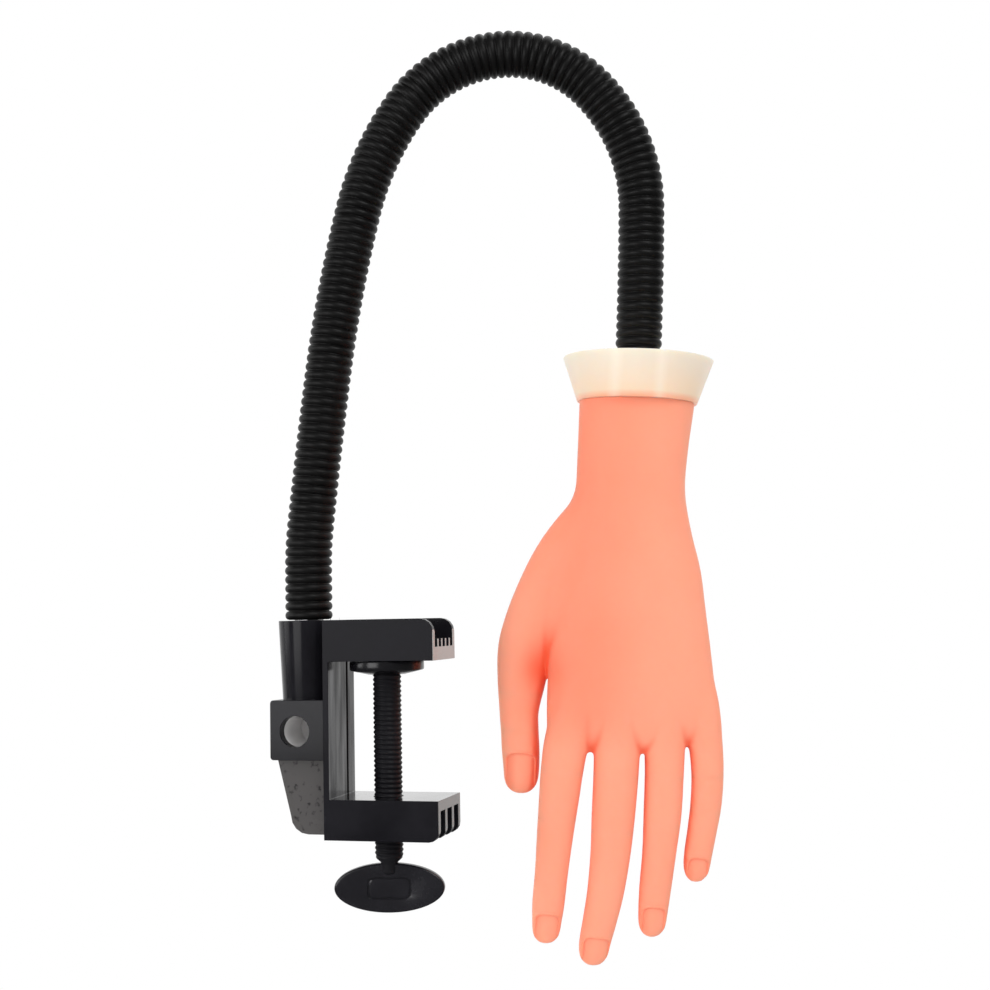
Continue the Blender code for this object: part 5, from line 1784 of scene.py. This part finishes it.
class PRACTICEHAND_OT_collar(bpy.types.Operator):
    """Build the cream wrist collar"""

    bl_idname = "practice_hand.collar"
    bl_label = "Wrist collar"

    def execute(self, context):
        settings = context.scene.practice_collar
        cream = make_collar_material(shared_group(), settings)
        top, down = collar_frame()[:2]
        soft = COLLAR_ROUNDING
        foot = COLLAR_HEIGHT + COLLAR_FOOT_REACH
        spigot_foot = COLLAR_HEIGHT + SPIGOT_LENGTH
        profile = [(COLLAR_SEAT_RADIUS, 0.3 * soft), (COLLAR_SEAT_RADIUS + 0.3 * soft, 0.0)]
        profile += [(COLLAR_TOP_RADIUS - soft, 0.0), (COLLAR_TOP_RADIUS - 0.3 * soft, 0.1 * soft),
                    (COLLAR_TOP_RADIUS, 0.5 * soft)]
        profile += [(COLLAR_FOOT_RADIUS + 0.1 * soft, foot - 0.6 * soft),
                    (COLLAR_FOOT_RADIUS - 0.3 * soft, foot - 0.1 * soft), (COLLAR_FOOT_RADIUS - soft, foot)]
        profile += [(SPIGOT_RADIUS, foot), (SPIGOT_FOOT_RADIUS, spigot_foot),
                    (COLLAR_POCKET_RADIUS, spigot_foot), (COLLAR_POCKET_RADIUS, COLLAR_WEB_FOOT),
                    (STUD_BORE_RADIUS, COLLAR_WEB_FOOT), (STUD_BORE_RADIUS, COLLAR_SEAT_DEPTH),
                    (COLLAR_SEAT_RADIUS, COLLAR_SEAT_DEPTH)]
        collar = turned("wrist_collar_look", profile, top, down, cream, 128, closed=True)
        smooth_by_angle(collar, 40.0)
        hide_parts("wrist_collar")
        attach(collar, "hand")
        return {"FINISHED"}


class PRACTICEHAND_OT_hand(bpy.types.Operator):
    """Build the soft hand and part it at its bends"""

    bl_idname = "practice_hand.hand"
    bl_label = "Soft hand"

    def execute(self, context):
        settings = context.scene.practice_skin
        skin = make_skin_material(shared_group(), settings)
        pieces = split_hand(build_hand_mesh(settings), skin, settings.fold_steps)
        palm = pieces["palm"]
        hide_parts("palm_skin")
        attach(palm, "hand")
        for digit, (root, second) in DIGIT_JOINTS_SHARE.items():
            half_span = 0.5 * (second - root) * HAND_LENGTH
            reach = min(SKIN_BEND_REACH, 0.94 * half_span)
            bodies = ("hand", digit + "_base", digit + "_tip")
            for label, joint, lead, parent, child in (
                ("base", root, SKIN_BEND_LEAD, bodies[0], bodies[1]),
                ("tip", second, reach, bodies[1], bodies[2]),
            ):
                made = pieces[digit + "_" + label]
                centre, direction = digit_axis(digit, joint)[:2]
                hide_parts(digit + "_skin_" + label)
                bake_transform(made)
        return {"FINISHED"}


class PRACTICEHAND_OT_inner_metal(bpy.types.Operator):
    """Finish the metal pieces inside the hand and the gooseneck"""

    bl_idname = "practice_hand.inner_metal"
    bl_label = "Inner metal"

    def execute(self, context):
        group = shared_group()
        steel, wire, zinc = [make_plain_material(name, group, *finish, metallic=1.0)
                             for name, finish in INNER_METALS.items()]
        for name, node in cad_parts.items():
            if node.hide_render:
                continue
            finish = zinc
            if name.startswith("core_"):
                finish = steel
            elif "wire" in name or name == "palm_plate":
                finish = wire
            for slot in node.material_slots:
                slot.material = finish
        return {"FINISHED"}


class PRACTICEHAND_OT_stage(bpy.types.Operator):
    """Build floor, backdrop, lamps and camera"""

    bl_idname = "practice_hand.stage"
    bl_label = "Stage"

    def execute(self, context):
        settings = context.scene.practice_stage
        target = SOCKET_AXIS + ACROSS * CAMERA_ACROSS + UP * STAGE_HEIGHT
        self.add_camera(context)
        self.add_surroundings(context, settings)
        backdrop_white = self.white_stage_material("white_backdrop", 1.0, 1.0)
        floor_white = self.white_stage_material("white_floor", settings.reflected, 0.6)
        self.add_card("backdrop", target + DEEP * BACKDROP_DISTANCE, -DEEP, *BACKDROP_SIZE, backdrop_white)
        floor_centre = target - UP * FLOOR_DROP + DEEP * FLOOR_DISTANCE
        self.add_card("floor", floor_centre, UP, *FLOOR_SIZE, floor_white)
        powers = (settings.key_power, settings.fill_power, SIDE_LAMP_SHARE * settings.fill_power,
                  RIM_LAMP_SHARE * settings.fill_power)
        for (name, ((deep, across, up), width)), power in zip(LAMPS.items(), powers):
            place = target + DEEP * deep + ACROSS * across + UP * up
            self.add_lamp(name, place, target, width, power)
        return {"FINISHED"}

    def add_camera(self, context):
        """The camera looks at the arch's plane, a little upwards and a little rolled."""
        data = bpy.data.cameras.new("camera")
        data.lens = CAMERA_LENS_MM
        camera = link(bpy.data.objects.new("camera", data))
        camera.location = SOCKET_AXIS + ACROSS * CAMERA_ACROSS - DEEP * CAMERA_DISTANCE + UP * CAMERA_HEIGHT
        forward = DEEP * math.cos(CAMERA_PITCH) + UP * math.sin(CAMERA_PITCH)
        level_up = UP * math.cos(CAMERA_PITCH) - DEEP * math.sin(CAMERA_PITCH)
        right = ACROSS * math.cos(CAMERA_ROLL) - level_up * math.sin(CAMERA_ROLL)
        upward = level_up * math.cos(CAMERA_ROLL) + ACROSS * math.sin(CAMERA_ROLL)
        camera.rotation_euler = Matrix((right, upward, -forward)).transposed().to_euler()
        context.scene.camera = camera

    def add_surroundings(self, context, settings):
        """An even pale world, and plain display colours."""
        world = bpy.data.worlds.new("surroundings")
        world.use_nodes = True
        nodes, links = world.node_tree.nodes, world.node_tree.links
        even = nodes["Background"]
        even.inputs["Color"].default_value = (1.0, 1.0, 1.0, 1.0)
        even.inputs["Strength"].default_value = settings.ambient
        dim = nodes.new("ShaderNodeBackground")
        dim.inputs["Color"].default_value = (1.0, 1.0, 1.0, 1.0)
        dim.inputs["Strength"].default_value = settings.reflected
        rays = nodes.new("ShaderNodeLightPath")
        mix = nodes.new("ShaderNodeMixShader")
        links.new(rays.outputs["Is Glossy Ray"], mix.inputs["Fac"])
        links.new(even.outputs["Background"], mix.inputs[1])
        links.new(dim.outputs["Background"], mix.inputs[2])
        links.new(mix.outputs["Shader"], nodes["World Output"].inputs["Surface"])
        context.scene.world = world
        context.scene.view_settings.view_transform = "Standard"

    def white_stage_material(self, name, reflected, seen):
        """Matte white that glows in reflections and to the camera, and is clear from behind."""
        material, nodes, links, shader = new_material(name)
        shader.inputs["Base Color"].default_value = (0.9, 0.9, 0.9, 1.0)
        shader.inputs["Roughness"].default_value = 0.9
        rays = nodes.new("ShaderNodeLightPath")
        surface = shader.outputs["BSDF"]
        for ray, strength, share in (("Is Glossy Ray", reflected, 1.0), ("Is Camera Ray", 1.0, seen)):
            glow = nodes.new("ShaderNodeEmission")
            glow.inputs["Strength"].default_value = strength
            part = nodes.new("ShaderNodeMath")
            part.operation = "MULTIPLY"
            part.inputs[1].default_value = share
            links.new(rays.outputs[ray], part.inputs[0])
            mix = nodes.new("ShaderNodeMixShader")
            links.new(part.outputs["Value"], mix.inputs["Fac"])
            links.new(surface, mix.inputs[1])
            links.new(glow.outputs["Emission"], mix.inputs[2])
            surface = mix.outputs["Shader"]
        side = nodes.new("ShaderNodeNewGeometry")
        seen_from_behind = nodes.new("ShaderNodeMath")
        seen_from_behind.operation = "MULTIPLY"
        links.new(side.outputs["Backfacing"], seen_from_behind.inputs[0])
        links.new(rays.outputs["Is Camera Ray"], seen_from_behind.inputs[1])
        mix = nodes.new("ShaderNodeMixShader")
        links.new(seen_from_behind.outputs["Value"], mix.inputs["Fac"])
        links.new(surface, mix.inputs[1])
        links.new(nodes.new("ShaderNodeBsdfTransparent").outputs["BSDF"], mix.inputs[2])
        links.new(mix.outputs["Shader"], nodes["Material Output"].inputs["Surface"])
        return material

    def add_card(self, name, centre, normal, width, height, material):
        """A flat stage card."""
        first = normal.orthogonal().normalized()
        if abs(normal.z) < 0.5:
            first = UP.cross(normal).normalized()
        second = normal.cross(first).normalized()
        mesh_data = bmesh.new()
        corners = ((-1.0, -1.0), (1.0, -1.0), (1.0, 1.0), (-1.0, 1.0))
        verts = [mesh_data.verts.new(centre + first * (0.5 * width * a) + second * (0.5 * height * b))
                 for a, b in corners]
        mesh_data.faces.new(verts)
        mesh = bpy.data.meshes.new(name)
        mesh_data.to_mesh(mesh)
        mesh_data.free()
        mesh.materials.append(material)
        card = link(bpy.data.objects.new(name, mesh))
        return card

    def add_lamp(self, name, place, target, size, power):
        """A square soft lamp that faces the target."""
        data = bpy.data.lights.new(name, "AREA")
        data.size = size
        data.energy = power
        lamp = link(bpy.data.objects.new(name, data))
        lamp.location = place
        lamp.rotation_euler = (target - place).to_track_quat("-Z", "Y").to_euler()


class PRACTICEHAND_PT_panel(bpy.types.Panel):
    """Lists the steps that build the practice hand"""

    bl_label = "Practice Hand"
    bl_idname = "PRACTICEHAND_PT_panel"
    bl_space_type = "VIEW_3D"
    bl_region_type = "UI"
    bl_category = "Practice Hand"

    def draw(self, context):
        for operator in OPERATORS:
            self.layout.operator(operator.bl_idname)


OPERATORS = (
    PRACTICEHAND_OT_clamp,
    PRACTICEHAND_OT_screw,
    PRACTICEHAND_OT_sleeve,
    PRACTICEHAND_OT_collar,
    PRACTICEHAND_OT_hand,
    PRACTICEHAND_OT_inner_metal,
    PRACTICEHAND_OT_stage,
)
SETTINGS = {
    "practice_clamp": ClampLook,
    "practice_sleeve": SleeveLook,
    "practice_collar": CollarLook,
    "practice_skin": SkinLook,
    "practice_stage": StageLook,
}


def register():
    """Register settings, operators and panel."""
    for name, group in SETTINGS.items():
        bpy.utils.register_class(group)
        setattr(bpy.types.Scene, name, PointerProperty(type=group))
    for operator in OPERATORS:
        bpy.utils.register_class(operator)
    bpy.utils.register_class(PRACTICEHAND_PT_panel)


def unregister():
    """Take everything back out."""
    bpy.utils.unregister_class(PRACTICEHAND_PT_panel)
    for operator in reversed(OPERATORS):
        bpy.utils.unregister_class(operator)
    for name, group in SETTINGS.items():
        delattr(bpy.types.Scene, name)
        bpy.utils.unregister_class(group)


def main():
    """Build the whole scene."""
    register()
    bpy.ops.practice_hand.clamp()
    bpy.ops.practice_hand.screw()
    bpy.ops.practice_hand.sleeve()
    bpy.ops.practice_hand.collar()
    bpy.ops.practice_hand.hand()
    bpy.ops.practice_hand.inner_metal()
    bpy.ops.practice_hand.stage()


if __name__ == "__main__":
    main()
